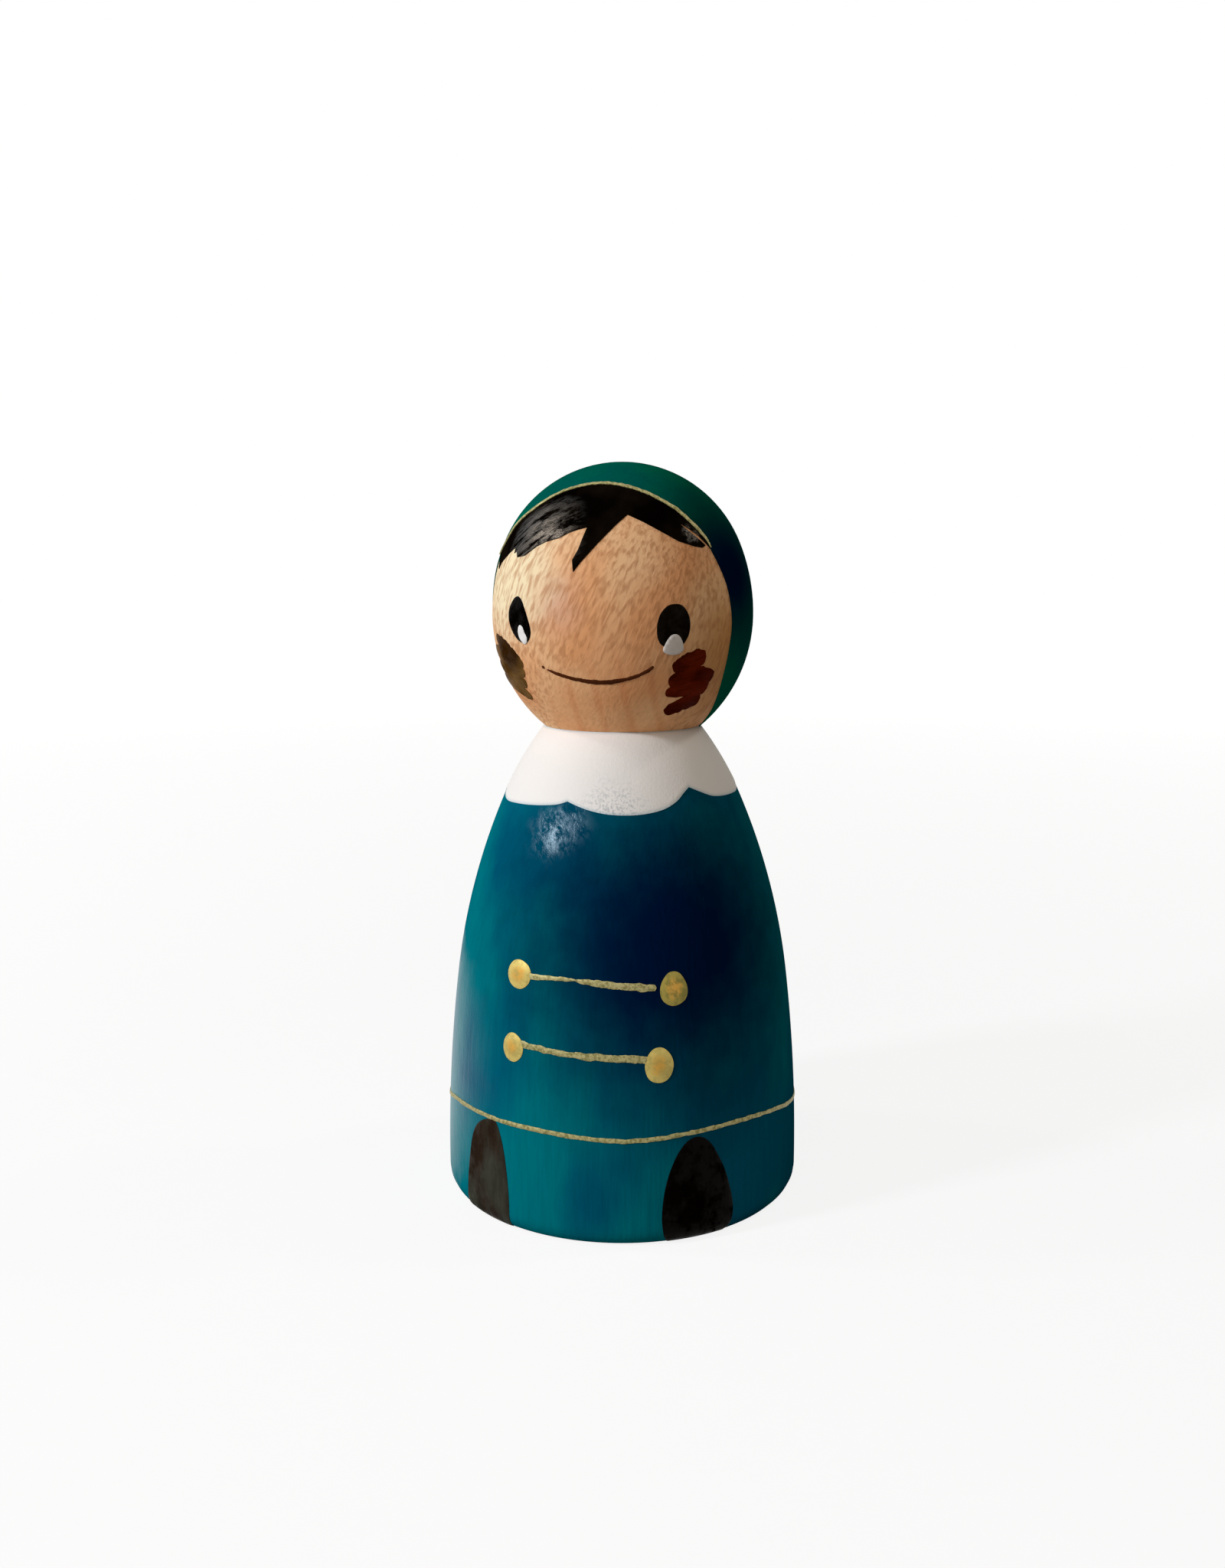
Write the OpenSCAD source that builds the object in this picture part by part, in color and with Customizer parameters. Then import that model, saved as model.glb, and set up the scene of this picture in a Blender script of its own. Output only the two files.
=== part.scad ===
// Painted wooden peg doll: a turned body and a turned head on a glued neck dowel, dressed in films of paint.
// The origin is the centre of the flat foot, +Z is up and the doll faces -Y.
// Turns are in degrees round the doll from its front, towards the right as seen from the front.

/* [Turned body] */
// Diameter of the bare wood at its widest, just above the foot
body_d = 29.8; // [22:0.1:40]
// Height from the flat foot to the seat of the head
body_h = 38.95; // [30:0.05:55]
// Diameter of the neck, where the body and the head meet
neck_d = 12.6; // [8:0.1:16]
// Rounding of the edge round the foot
foot_round = 1.3; // [0.4:0.1:3]

/* [Turned head] */
// Diameter of the bare head at its widest
head_d = 21.1; // [17:0.1:23.5]
// Height of the head from its seat on the body to the crown
head_h = 20.95; // [19:0.05:28]

/* [Neck dowel] */
// Diameter of the dowel that joins the head to the body
dowel_d = 4; // [2:0.1:6]
// Length of the dowel, half of it in each piece
dowel_l = 15; // [8:0.5:24]
// Glue gap round the dowel, on the radius
dowel_play = 0.05; // [0.02:0.01:0.2]
// Spare depth of each blind bore past the end of the dowel
bore_spare = 0.5; // [0.2:0.1:2]

/* [Paint films] */
// Thickness of a coat of colour on the wood
paint_t = 0.1; // [0.06:0.01:0.3]
// Thickness of the gold lines, which are laid on thicker
gold_t = 0.16; // [0.08:0.01:0.4]
// Height above the table at which the coat stops
bare_foot = 0.25; // [0.1:0.05:1]

/* [Coat and boots] */
// Height of the gold hem line above the table
hem_z = 9; // [5:0.1:14]
// Width of the gold hem line
hem_w = 0.42; // [0.2:0.02:1.2]
// Width of each boot where it meets the table
boot_w = 5.8; // [3:0.1:8]
// Height of the rounded top of each boot
boot_h = 8.5; // [5:0.1:8.7]
// Angle of each boot round the doll from its front, in degrees
boot_angle = 36; // [25:1:60]

/* [Scalloped collar] */
// Number of scallops round the collar
collar_lobes = 6; // [4:1:10]
// Depth of the collar, from the neck to the lowest point of each scallop
collar_depth = 5.75; // [3:0.05:9]
// Radius of the arc along each scallop
collar_lobe_r = 10.5; // [8:0.1:16]
// Angle of the first scallop round the doll from its front, in degrees
collar_angle = 17; // [-30:1:30]

/* [Gold buttons and bars] */
// Diameter of a full sized gold button
button_d = 2.4; // [1.2:0.1:3.6]
// Height of the domed dot of paint that makes a button
button_rise = 0.45; // [0.2:0.05:0.9]
// Width of the gold bars between the buttons
bar_w = 0.6; // [0.3:0.05:1]

/* [Hood] */
// Width of the gold line along the edge of the hood
trim_w = 0.38; // [0.2:0.02:0.9]
// How far in front of the axis the edge of the hood lies, beside the cheeks
hood_front = 4.5; // [2:0.1:6]
// Lean of the upper edge of the hood over the brow
hood_lean = 9; // [0:1:20]
// Radius of the arc of the edge, from beside the cheeks down to the neck
hood_cheek_r = 14; // [11:0.5:24]

/* [Face] */
// Width of an eye
eye_w = 2.75; // [1.6:0.05:4]
// Height of an eye
eye_h = 3.4; // [2.4:0.05:5]
// Diameter of the white glint at the foot of an eye
glint_d = 1.45; // [0.8:0.05:2]
// Width of the mouth between its corners
mouth_w = 8.4; // [5:0.1:11]
// Drop of the middle of the smile below its corners
mouth_drop = 1.05; // [0.4:0.05:2.4]
// Width of the line that draws the mouth
mouth_line = 0.3; // [0.15:0.01:0.7]
// Length of each brush stroke on a cheek
stroke_l = 3.9; // [2.4:0.1:5]
// Width of each brush stroke on a cheek
stroke_w = 1.55; // [0.8:0.05:2.2]

/* [Hidden] */
$fn = 120;

wood_colour = "#d9a978";
dowel_colour = "#c79a68";
coat_colour = "#045a68";
boot_colour = "#15120e";
collar_colour = "#f1eee8";
gold_colour = "#c9a94b";
hair_colour = "#0d0b09";
eye_colour = "#0a0808";
glint_colour = "#f3ece6";
mouth_colour = "#5f3319";
cheek_colour = "#4d1508";

LEFT = 0;
RIGHT = 1;

// Facets of a full turn, and of the circles that draw the long arcs of an outline
turn_fn = 180;
arc_fn = 720;
// Levels where two arcs meet, and the flats of eggs and ovals, are kept to this step
level_step = 0.001;
// Radius of a shape that reaches past every surface of the doll
reach = body_d + head_d;

// The outline of the body passes these stations between the foot arc and the neck:
// height as a share of the way up to the neck, and radius as a share of the way out from the neck
body_station_shares = [[0.4515, 0.875], [0.842, 0.408], [1, 0]];
belly = [body_d / 2, foot_round];
body_stations = [
    for (share = body_station_shares)
        [
            neck_d / 2 + (body_d - neck_d) / 2 * share.y,
            foot_round + (body_h - foot_round) * share.x
        ]
];
body_arcs = arc_chain(belly, [1, 0], body_stations, 0);

// The head is an egg: a round crown and a round chin, joined by side arcs that meet where it is widest.
// Eggs and ovals are drawn alike. The radius of a round end falls short of half the width by its flat, and
// its centre stands off from the widest level by a few flats, so that all centres and radii are round numbers.
head_r = head_d / 2;
chin_flat_share = 0.066;
chin_drop_share = 2;
crown_lift_share = 5;
chin_flat = stepped(head_r * chin_flat_share);
chin_r = head_r - chin_flat;
chin_rise = sqrt(chin_r ^ 2 - (neck_d / 2) ^ 2);
crown_flat = stepped((head_h - chin_rise - chin_flat * chin_drop_share - head_r) / (crown_lift_share - 1));
crown_r = head_r - crown_flat;
crown_z = body_h + head_h - crown_r;
wide_z = crown_z - crown_flat * crown_lift_share;
chin_z = wide_z - chin_flat * chin_drop_share;
lower_side_r = side_radius(head_r, chin_flat, chin_drop_share);
upper_side_r = side_radius(head_r, crown_flat, crown_lift_share);
crown_normal = end_normal(crown_lift_share);
chin_normal = end_normal(-chin_drop_share);
head_arcs = [
    [[0, chin_z], chin_r, [0, chin_z] + chin_r * chin_normal, chin_normal],
    [[head_r - lower_side_r, wide_z], lower_side_r, [head_r, wide_z], [1, 0]],
    [[head_r - upper_side_r, wide_z], upper_side_r, [0, crown_z] + crown_r * crown_normal, crown_normal],
    [[0, crown_z], crown_r, [0, crown_z + crown_r], [0, 1]]
];
// Level of the face, from which the eyes, mouth, cheeks, hair and hood are placed
face_share = 0.4456;
face_z = body_h + head_h * face_share;

// Depth of each blind bore for the dowel
bore_depth = dowel_l / 2 + bore_spare;

// How far the centres of the round ends of each painted oval stand off from its middle, in flats
boot_point_share = 6;
eye_point_share = 1.5;
stroke_point_share = 4;

// Places of the painted details, from left to right and from the top down
boot_angles = [-boot_angle, boot_angle];
button_turns = [[-23.4, 29.1], [-23.9, 23.6]];
button_height_shares = [[0.534, 0.521], [0.389, 0.375]];
button_size_shares = [[0.94, 1], [0.9, 1.06]];
eye_turns = [-36, 34];
eye_height_shares = [-0.045, -0.08];
eye_size_shares = [0.99, 1];
glint_angle = 1;
glint_drop_share = 0.34;
mouth_height_share = -0.39;
cheek_turns = [-50, 45];
cheek_height_shares = [-0.48, -0.52];
// Middle of each brush stroke, as shares of the radius of the head, and its length as a share of a full one
stroke_shares = [[-0.01, 0.16, 0.9], [0.05, 0.05, 1], [0.01, -0.06, 1], [0.02, -0.165, 0.86]];
stroke_tilt = 28;
// Where the straight upper edge of the hood meets the arc beside the cheeks, below the level of the face
hood_joint_share = 0.125;
// Lowest height of the gold trim, where it fades out beside the brow
trim_end_share = 0.44;
// Lower edge of the hair from left to right, as shares of the radius of the head from its middle
hair_edge_shares = [
    [-1.1, 0.27], [-0.82, 0.36], [-0.65, 0.47], [-0.63, 0.39], [-0.56, 0.4],
    [-0.39, 0.49], [-0.07, 0.6], [-0.155, 0.37], [-0.145, 0.285], [0.02, 0.48],
    [0.21, 0.69], [0.46, 0.565], [0.75, 0.445], [0.75, 1.2], [-1.1, 1.2]
];

// An arc of an outline is its centre, its radius, its upper end and the unit normal there

// Radius of the arc that leaves point p at a right angle to the unit normal n and passes through point q
function arc_radius(p, n, q) = -((q - p) * (q - p)) / (2 * (q - p) * n);

// Tangent arcs that start at p and pass through the stations in turn
function arc_chain(p, n, stations, i) =
    i == len(stations) ? [] :
    let (
        q = stations[i],
        r = arc_radius(p, n, q),
        centre = p - r * n,
        end_normal = (q - centre) / r
    )
    concat([[centre, r, q, end_normal]], arc_chain(q, end_normal, stations, i + 1));

function stepped(length) = round(length / level_step) * level_step;

// Height at which arc i of an outline ends when its surface is raised by t
function arc_top(arcs, i, t) = stepped(arcs[i][2].y + t * arcs[i][3].y);

// Side arc of an egg or oval, whose round end has this flat and stands off by this many flats:
// its radius, and the unit normal where it runs into the round end
function side_radius(half_w, flat, share) = half_w + flat * (share ^ 2 - 1) / 2;
function end_normal(share) = [share ^ 2 - 1, 2 * share] / (share ^ 2 + 1);

// The arc of the body that holds height z, with the surface raised by t
function arc_at(z, t, i = 0) =
    i == len(body_arcs) - 1 || z <= arc_top(body_arcs, i, t) ? body_arcs[i] : arc_at(z, t, i + 1);

// Tilt of the surface of the body above the level at height z, and its radius there, raised by t
function body_tilt(z, t) = let (arc = arc_at(z, t)) asin((z - arc[0].y) / (arc[1] + t));
function body_radius(z, t) = let (arc = arc_at(z, t)) arc[0].x + (arc[1] + t) * cos(body_tilt(z, t));

// Half an outline of stacked arcs between two heights, raised by t, for turning round the axis
module arcs_outline(arcs, from, to, t) {
    last = len(arcs) - 1;
    for (i = [0 : last]) {
        bottom = i == 0 ? from : arc_top(arcs, i - 1, t);
        top = i == last ? to : arc_top(arcs, i, t);
        intersection() {
            translate(arcs[i][0]) circle(arcs[i][1] + t, $fn = arc_fn);
            translate([0, bottom]) square([reach, top - bottom]);
        }
    }
}

module body_outline(t) {
    arcs_outline(body_arcs, foot_round, body_h, t);
    square([body_d / 2 - foot_round, foot_round]);
    intersection() {
        translate([body_d / 2 - foot_round, foot_round]) circle(foot_round + t);
        square([reach, foot_round]);
    }
}

module head_outline(t) {
    arcs_outline(head_arcs, body_h, body_h + head_h + reach, t);
}

// Turns half an outline round the axis, starting and ending at the back of the doll
module turned() {
    rotate([0, 0, 90]) rotate_extrude($fn = turn_fn) children();
}

// A film on the body or on the head, from one height above the wood to another
module body_film(under, over) {
    turned()
        difference() {
            body_outline(over);
            body_outline(under);
        }
}

module head_film(under, over) {
    turned()
        difference() {
            head_outline(over);
            head_outline(under);
        }
}

// Carries an outline in x and z out from the axis, at a turn round the doll, to cut a film to it
module stencil(turn) {
    rotate([0, 0, turn]) rotate([90, 0, 0]) linear_extrude(height = reach) children();
}

// Everything between two heights
module level(from, to) {
    translate([-reach, -reach, from]) cube([2 * reach, 2 * reach, to - from]);
}

// An upright oval with round ends, more pointed the more flats their centres stand off from the middle
module oval(w, h, share) {
    flat = stepped((h - w) / 2 / (share - 1));
    side_r = side_radius(w / 2, flat, share);
    end_r = w / 2 - flat;
    joint_y = stepped(flat * share + end_r * end_normal(share).y);
    intersection() {
        translate([w / 2 - side_r, 0]) circle(side_r);
        translate([side_r - w / 2, 0]) circle(side_r);
        translate([-w / 2, -joint_y]) square([w, 2 * joint_y]);
    }
    for (turn = [0, 180])
        rotate(turn)
            intersection() {
                translate([0, flat * share]) circle(end_r);
                translate([-w / 2, joint_y]) square(w);
            }
}

module body() {
    color(wood_colour)
        difference() {
            turned() body_outline(0);
            translate([0, 0, body_h - bore_depth]) cylinder(h = bore_depth + bore_spare, d = dowel_d + 2 * dowel_play);
        }
}

module head() {
    color(wood_colour)
        difference() {
            turned() head_outline(0);
            translate([0, 0, body_h - bore_spare]) cylinder(h = bore_depth + bore_spare, d = dowel_d + 2 * dowel_play);
        }
}

module neck_dowel() {
    color(dowel_colour) translate([0, 0, body_h - dowel_l / 2]) cylinder(h = dowel_l, d = dowel_d);
}

// Upper edge of the coat: the scallops of the collar
module scallops() {
    for (i = [0 : collar_lobes - 1])
        stencil(collar_angle + i * 360 / collar_lobes)
            translate([0, body_h - collar_depth + collar_lobe_r]) circle(collar_lobe_r, $fn = turn_fn);
}

module coat() {
    color(coat_colour)
        difference() {
            body_film(0, paint_t);
            level(-paint_t, bare_foot);
            scallops();
        }
}

module collar() {
    color(collar_colour)
        intersection() {
            body_film(0, paint_t);
            scallops();
        }
}

module hem_line() {
    color(gold_colour)
        intersection() {
            body_film(paint_t, paint_t + gold_t);
            level(hem_z - hem_w / 2, hem_z + hem_w / 2);
        }
}

// A boot is the upper half of a tall oval, with its widest part on the ground
module boot(side) {
    color(boot_colour)
        difference() {
            intersection() {
                body_film(paint_t, 2 * paint_t);
                stencil(boot_angles[side]) oval(boot_w, 2 * boot_h, boot_point_share);
            }
            level(-paint_t, bare_foot);
        }
}

module left_boot() boot(LEFT);
module right_boot() boot(RIGHT);

// Ball whose cap stands out of the coat as one domed button
module button_ball(row, side) {
    size = button_d * button_size_shares[row][side];
    ball_r = ((size / 2) ^ 2 + button_rise ^ 2) / (2 * button_rise);
    z = body_h * button_height_shares[row][side];
    rotate([0, 0, button_turns[row][side]])
        translate([0, -body_radius(z, paint_t), z])
            rotate([-body_tilt(z, paint_t), 0, 0])
                translate([0, ball_r - button_rise, 0]) rotate([90, 0, 0]) sphere(ball_r);
}

// Cone that touches the coat all round at height z, as the seat of a button
module coat_cone(z) {
    r = body_radius(z, paint_t);
    taper = button_d * tan(body_tilt(z, paint_t));
    turned()
        polygon([
            [0, z - button_d], [r + taper, z - button_d], [r - taper, z + button_d], [0, z + button_d]
        ]);
}

module button(row, side) {
    color(gold_colour)
        difference() {
            button_ball(row, side);
            coat_cone(body_h * button_height_shares[row][side]);
        }
}

module upper_left_button() button(0, LEFT);
module upper_right_button() button(0, RIGHT);
module lower_left_button() button(1, LEFT);
module lower_right_button() button(1, RIGHT);

// Place of the middle of a button seen from the front
function button_front(row, side) =
    let (z = body_h * button_height_shares[row][side])
    [body_radius(z, paint_t) * sin(button_turns[row][side]), z];

// A bar runs from the middle of one button to the middle of the other, and ends where it meets them
module bar(row) {
    from = button_front(row, LEFT);
    to = button_front(row, RIGHT);
    run = to - from;
    color(gold_colour)
        difference() {
            intersection() {
                body_film(paint_t, paint_t + gold_t);
                stencil(0)
                    translate(from)
                        rotate(atan2(run.y, run.x))
                            translate([0, -bar_w / 2]) square([norm(run), bar_w]);
            }
            button_ball(row, LEFT);
            button_ball(row, RIGHT);
        }
}

module upper_bar() bar(0);
module lower_bar() bar(1);

// Everything behind the edge of the hood, with the edge moved forwards by w
module hood_side(w) {
    joint = [hood_front, face_z - head_r * hood_joint_share];
    // Drawn forwards and up from the joint, then carried across the doll from side to side
    rotate([90, 0, -90])
        translate([0, 0, -reach])
            linear_extrude(height = 2 * reach)
                translate(joint)
                    rotate(-hood_lean) {
                        translate([w - reach, 0]) square(reach);
                        intersection() {
                            translate([-hood_cheek_r, 0]) circle(hood_cheek_r + w, $fn = turn_fn);
                            translate([-reach, -reach]) square([2 * reach, reach]);
                        }
                    }
}

module hood() {
    color(coat_colour)
        intersection() {
            head_film(0, paint_t);
            hood_side(0);
        }
}

module hood_trim() {
    color(gold_colour)
        difference() {
            intersection() {
                head_film(0, gold_t);
                hood_side(trim_w);
                level(face_z + head_r * trim_end_share, body_h + 2 * head_h);
            }
            hood_side(0);
        }
}

module hair() {
    color(hair_colour)
        difference() {
            intersection() {
                head_film(0, paint_t);
                stencil(0)
                    translate([0, face_z])
                        polygon([for (share = hair_edge_shares) head_r * share]);
            }
            hood_side(trim_w);
        }
}

module eye_stencil(side) {
    size_share = eye_size_shares[side];
    stencil(eye_turns[side])
        translate([0, face_z + head_r * eye_height_shares[side]])
            oval(eye_w * size_share, eye_h * size_share, eye_point_share);
}

module eye(side) {
    color(eye_colour)
        intersection() {
            head_film(0, paint_t);
            eye_stencil(side);
        }
}

module left_eye() eye(LEFT);
module right_eye() eye(RIGHT);

// The glint lies over the lower end of the eye and hangs past it onto the bare wood
module glint(side) {
    color(glint_colour)
        difference() {
            intersection() {
                head_film(0, 2 * paint_t);
                stencil(eye_turns[side] + glint_angle)
                    translate([0, face_z + head_r * eye_height_shares[side] - eye_h * glint_drop_share])
                        circle(d = glint_d);
            }
            eye(side);
        }
}

module left_glint() glint(LEFT);
module right_glint() glint(RIGHT);

// The smile is an arc with round ends, drawn across the front of the face
module mouth() {
    smile_r = ((mouth_w / 2) ^ 2 + mouth_drop ^ 2) / (2 * mouth_drop);
    half_turn = asin(mouth_w / 2 / smile_r);
    color(mouth_colour)
        intersection() {
            head_film(0, paint_t);
            stencil(0)
                translate([0, face_z + head_r * mouth_height_share + smile_r - mouth_drop]) {
                    intersection() {
                        difference() {
                            circle(smile_r + mouth_line / 2, $fn = turn_fn);
                            circle(smile_r - mouth_line / 2, $fn = turn_fn);
                        }
                        polygon([[0, 0], 2 * smile_r * [-sin(half_turn), -cos(half_turn)],
                            2 * smile_r * [sin(half_turn), -cos(half_turn)]]);
                    }
                    for (turn = [-half_turn, half_turn])
                        translate(smile_r * [sin(turn), -cos(turn)]) circle(d = mouth_line);
                }
        }
}

// A cheek is a stack of slanted brush strokes, and the left one is its mirror image
module cheek(side) {
    flip = side == LEFT ? -1 : 1;
    color(cheek_colour)
        intersection() {
            head_film(0, paint_t);
            stencil(cheek_turns[side])
                translate([0, face_z + head_r * cheek_height_shares[side]])
                    for (share = stroke_shares)
                        translate(head_r * [flip * share.x, share.y])
                            rotate(flip * (stroke_tilt - 90))
                                oval(stroke_w, stroke_l * share.z, stroke_point_share);
        }
}

module left_cheek() cheek(LEFT);
module right_cheek() cheek(RIGHT);

body();
head();
neck_dowel();
coat();
hem_line();
left_boot();
right_boot();
collar();
upper_bar();
lower_bar();
upper_left_button();
upper_right_button();
lower_left_button();
lower_right_button();
hood();
hood_trim();
hair();
left_eye();
right_eye();
left_glint();
right_glint();
mouth();
left_cheek();
right_cheek();
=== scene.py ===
"""Paints a small turned wooden peg doll: teal coat and hood, white scalloped collar, black hair and boots,
gold lines and buttons, and a smiling face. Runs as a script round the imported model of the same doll."""

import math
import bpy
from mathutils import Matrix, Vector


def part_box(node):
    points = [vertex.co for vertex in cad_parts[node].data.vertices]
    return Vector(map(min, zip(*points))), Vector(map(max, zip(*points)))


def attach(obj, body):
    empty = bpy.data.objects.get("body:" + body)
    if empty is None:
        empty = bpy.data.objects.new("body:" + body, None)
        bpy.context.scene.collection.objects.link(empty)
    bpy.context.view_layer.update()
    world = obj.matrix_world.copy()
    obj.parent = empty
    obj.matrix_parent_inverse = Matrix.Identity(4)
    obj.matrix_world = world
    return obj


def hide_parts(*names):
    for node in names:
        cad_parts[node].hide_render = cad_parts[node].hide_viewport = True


bl_info = {
    "name": "Painted peg doll",
    "version": (1, 0, 0),
    "blender": (4, 5, 0),
    "location": "View3D > Sidebar > Peg doll",
    "description": "Paints a turned wooden peg doll, area by area",
    "category": "Object",
}

import bpy
from mathutils import Vector, noise

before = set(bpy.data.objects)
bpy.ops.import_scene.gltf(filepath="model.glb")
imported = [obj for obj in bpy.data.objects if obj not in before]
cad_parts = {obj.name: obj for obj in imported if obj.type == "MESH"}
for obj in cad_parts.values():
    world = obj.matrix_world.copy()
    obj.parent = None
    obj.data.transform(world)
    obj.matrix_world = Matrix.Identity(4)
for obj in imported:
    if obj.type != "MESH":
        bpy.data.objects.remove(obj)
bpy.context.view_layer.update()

MM = 0.001
BODY = "root"

# Turned outlines, in millimetres, as chains of tangent arcs from the foot to the neck and on to the crown
BODY_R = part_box("body")[1].x / MM
BODY_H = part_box("body")[1].z / MM
HEAD_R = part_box("head")[1].x / MM
CROWN_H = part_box("head")[1].z / MM
NECK_R = 6.3
FOOT_ROUND = 1.3
BODY_STATIONS = ((0.875, 0.4515), (0.408, 0.842), (0, 1))
CHIN_FLAT = round(HEAD_R * 0.066, 3)
CHIN_DROP = 2
CROWN_LIFT = 5

# Heights above the wood that a film of paint starts from, in millimetres
WOOD = 0.0
COAT_TOP = 0.1
HOOD_TOP = 0.1

# Thickness of the films of paint, in millimetres. Each stroke of a cheek is a step thicker than the one above
COLLAR_FILM = 0.07
BOOT_FILM = 0.08
TRIM_FILM = 0.1
FACE_FILM = 0.06
GLINT_FILM = 0.13
MOUTH_FILM = 0.07
CHEEK_FILM = 0.04
CHEEK_STEP = 0.01

# Usual width of the line of the mouth, in millimetres
MOUTH_WIDTH = 0.3

# Load of paint along the edges of a stroke and of a button, as a share of the whole film
STROKE_EDGE = 0.6
BUTTON_EDGE = 0.22
# Points round the outline of a button
BUTTON_POINTS = 48

# Across a flat sheet, before it is laid on the doll, this many millimetres stand for a degree of turn
DEGREE = 0.22
HALF_SHEET = 180 * DEGREE

# How near two places count as one: on a flat sheet in millimetres, and on the doll in metres
NEAR = 1e-4
SAME_PLACE = 1e-6
# How far above the end of an arc a height may be and still count as on it, in millimetres
ARC_END = 1e-6
# Edges shorter than this, in metres, are dissolved, and folds sharper than this, in degrees, stay sharp
SLIVER = 1e-7
SMOOTH_ANGLE = 50

# Lean of the grain to the right, in degrees
GRAIN_LEAN = 24
# Patches of another colour or gloss, in millimetres: the middle, the distances where the patch begins to fade
# and where it ends, and how ragged its border is
ROSY_BROW = ((-2.9, -9.9, 49.0), 0.0, 3.6, 2.0)
# Painted light: cream on the left of the brow, where the lamps light the face most
PAINTED_LIGHT_BROW = ((-7.8, -6.6, 51.5), 2.2, 8.0, 2.5)
# Painted shade: browner wood on the right of the face, which turns away from the lamps
PAINTED_SHADE_SIDE = ((9.6, -4.4, 45.5), 0.8, 7.0, 2.5)
CHIN_RINGS = ((1.0, -9.5, 38.5), 5.0, 8.0, 2.0)
# Painted shade: navy over the right of the coat, which turns away from the lamps
COAT_PAINTED_SHADE = ((7, -11, 23.5), 3, 20.5, 4.0)
COAT_POLISH = [((-3.2, -9.4, 31.3), 0.4, 2.9, 2.0), ((-1.2, -10.0, 32.0), 0.1, 1.9, 2.0)]
COAT_SHEEN = [((-13.6, -5, 11), 0.5, 11, 3.0)]
FRONT_SCALLOP = ((1.6, -11.0, 33.4), 0.8, 4.0, 2.0)
# Painted shade: navy over the right of the hood, which turns away from the lamps
HOOD_PAINTED_SHADE = ((9.5, -4, 51.5), 1, 11, 0.6)
HAIR_POLISH = [((-3.9, -7.6, 53.5), 0.6, 4.0, 1.5), ((6.7, -6.4, 54.1), 0.2, 0.9, 0.4)]
CHEEK_BROWN = ((-8.0, -7.0, 45.6), 1.3, 2.7, 1.0)
# Shade of the growth rings, dark and pale
RING_SHADES = ((0.94, 0.77, 0.68, 1.0), (1.0, 0.9, 0.83, 1.0))

# The floor: its width and the distances over which it grows paler, in metres, its glow near the doll, and the
# shares of the lamps' light that it sends to the camera and to the doll
FLOOR_WIDTH = 6
FLOOR_PALER = (0.06, 0.5)
FLOOR_GLOW = 0.86
FLOOR_SHADE = 0.16
FLOOR_BOUNCE = 0.5

# The camera, in millimetres and degrees
CAMERA_PLACE = (23.62, -107.43, 50.55)
CAMERA_TURN = (90 - 10.58, 0, 12.4)
CAMERA_LENS = 30.55
CAMERA_SENSOR = 36
CAMERA_SHIFT = (-0.0062, 0.0299)

# The light of the room, and each lamp's name, place and side in millimetres, power in watts and tint
ROOM_LIGHT = 0.1
ROOM_TINT = "#f3e9dc"
LAMP_AIM = (0, 0, 30)
LAMPS = [
    ("window", (-280, -225, 210), 48, 1.01, "#f1f5ff"),
    ("front_fill", (40, -270, 290), 200, 0.26, "#fff6ec"),
    ("left_high_window", (-316, -30, 280), 45, 0.24, "#fffdfa"),
    ("right_back_window", (300, 135, 435), 50, 0.3, "#fff3e6"),
]


class Turning:
    """An outline turned round the axis, made of arcs given as centre, radius, first angle and last angle."""

    def __init__(self, arcs):
        self.arcs = arcs
        self.starts = [0.0]
        for _, radius, first, last in arcs:
            self.starts.append(self.starts[-1] + radius * (last - first))
        self.length = self.starts[-1]

    def reach(self, height):
        """Distance along the outline at which it comes to a height."""
        for start, (centre, radius, first, last) in zip(self.starts, self.arcs):
            top = centre[1] + radius * math.sin(last)
            if height <= top + ARC_END:
                sine = (height - centre[1]) / radius
                angle = math.asin(max(-1.0, min(1.0, sine)))
                return start + radius * (max(angle, first) - first)
        return self.length

    def station(self, along, raised):
        """Radius and height at a distance along the outline, raised off the wood."""
        index = 0
        while index < len(self.arcs) - 1 and along > self.starts[index + 1]:
            index += 1
        centre, radius, first, _ = self.arcs[index]
        angle = first + (along - self.starts[index]) / radius
        reach = radius + raised
        return (centre[0] + reach * math.cos(angle), centre[1] + reach * math.sin(angle))

    def place(self, turn, along, raised):
        """Point on the doll, in metres, at a turn in degrees from the front towards +X."""
        radius, height = self.station(along, raised)
        turn = math.radians(turn)
        return Vector((radius * math.sin(turn), -radius * math.cos(turn), height)) * MM


def body_arcs():
    """The foot's rounding and three arcs, each tangent to the one before it, up to the neck."""
    arcs = [((BODY_R - FOOT_ROUND, FOOT_ROUND), FOOT_ROUND, -math.pi / 2, 0.0)]
    point, normal = Vector((BODY_R, FOOT_ROUND)), Vector((1, 0))
    for out, up in BODY_STATIONS:
        end = Vector((NECK_R + (BODY_R - NECK_R) * out, FOOT_ROUND + (BODY_H - FOOT_ROUND) * up))
        step = end - point
        radius = -step.length_squared / (2 * step.dot(normal))
        centre = point - radius * normal
        after = (end - centre) / radius
        arcs.append((tuple(centre), radius, math.atan2(normal.y, normal.x), math.atan2(after.y, after.x)))
        point, normal = end, after
    return arcs


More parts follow.
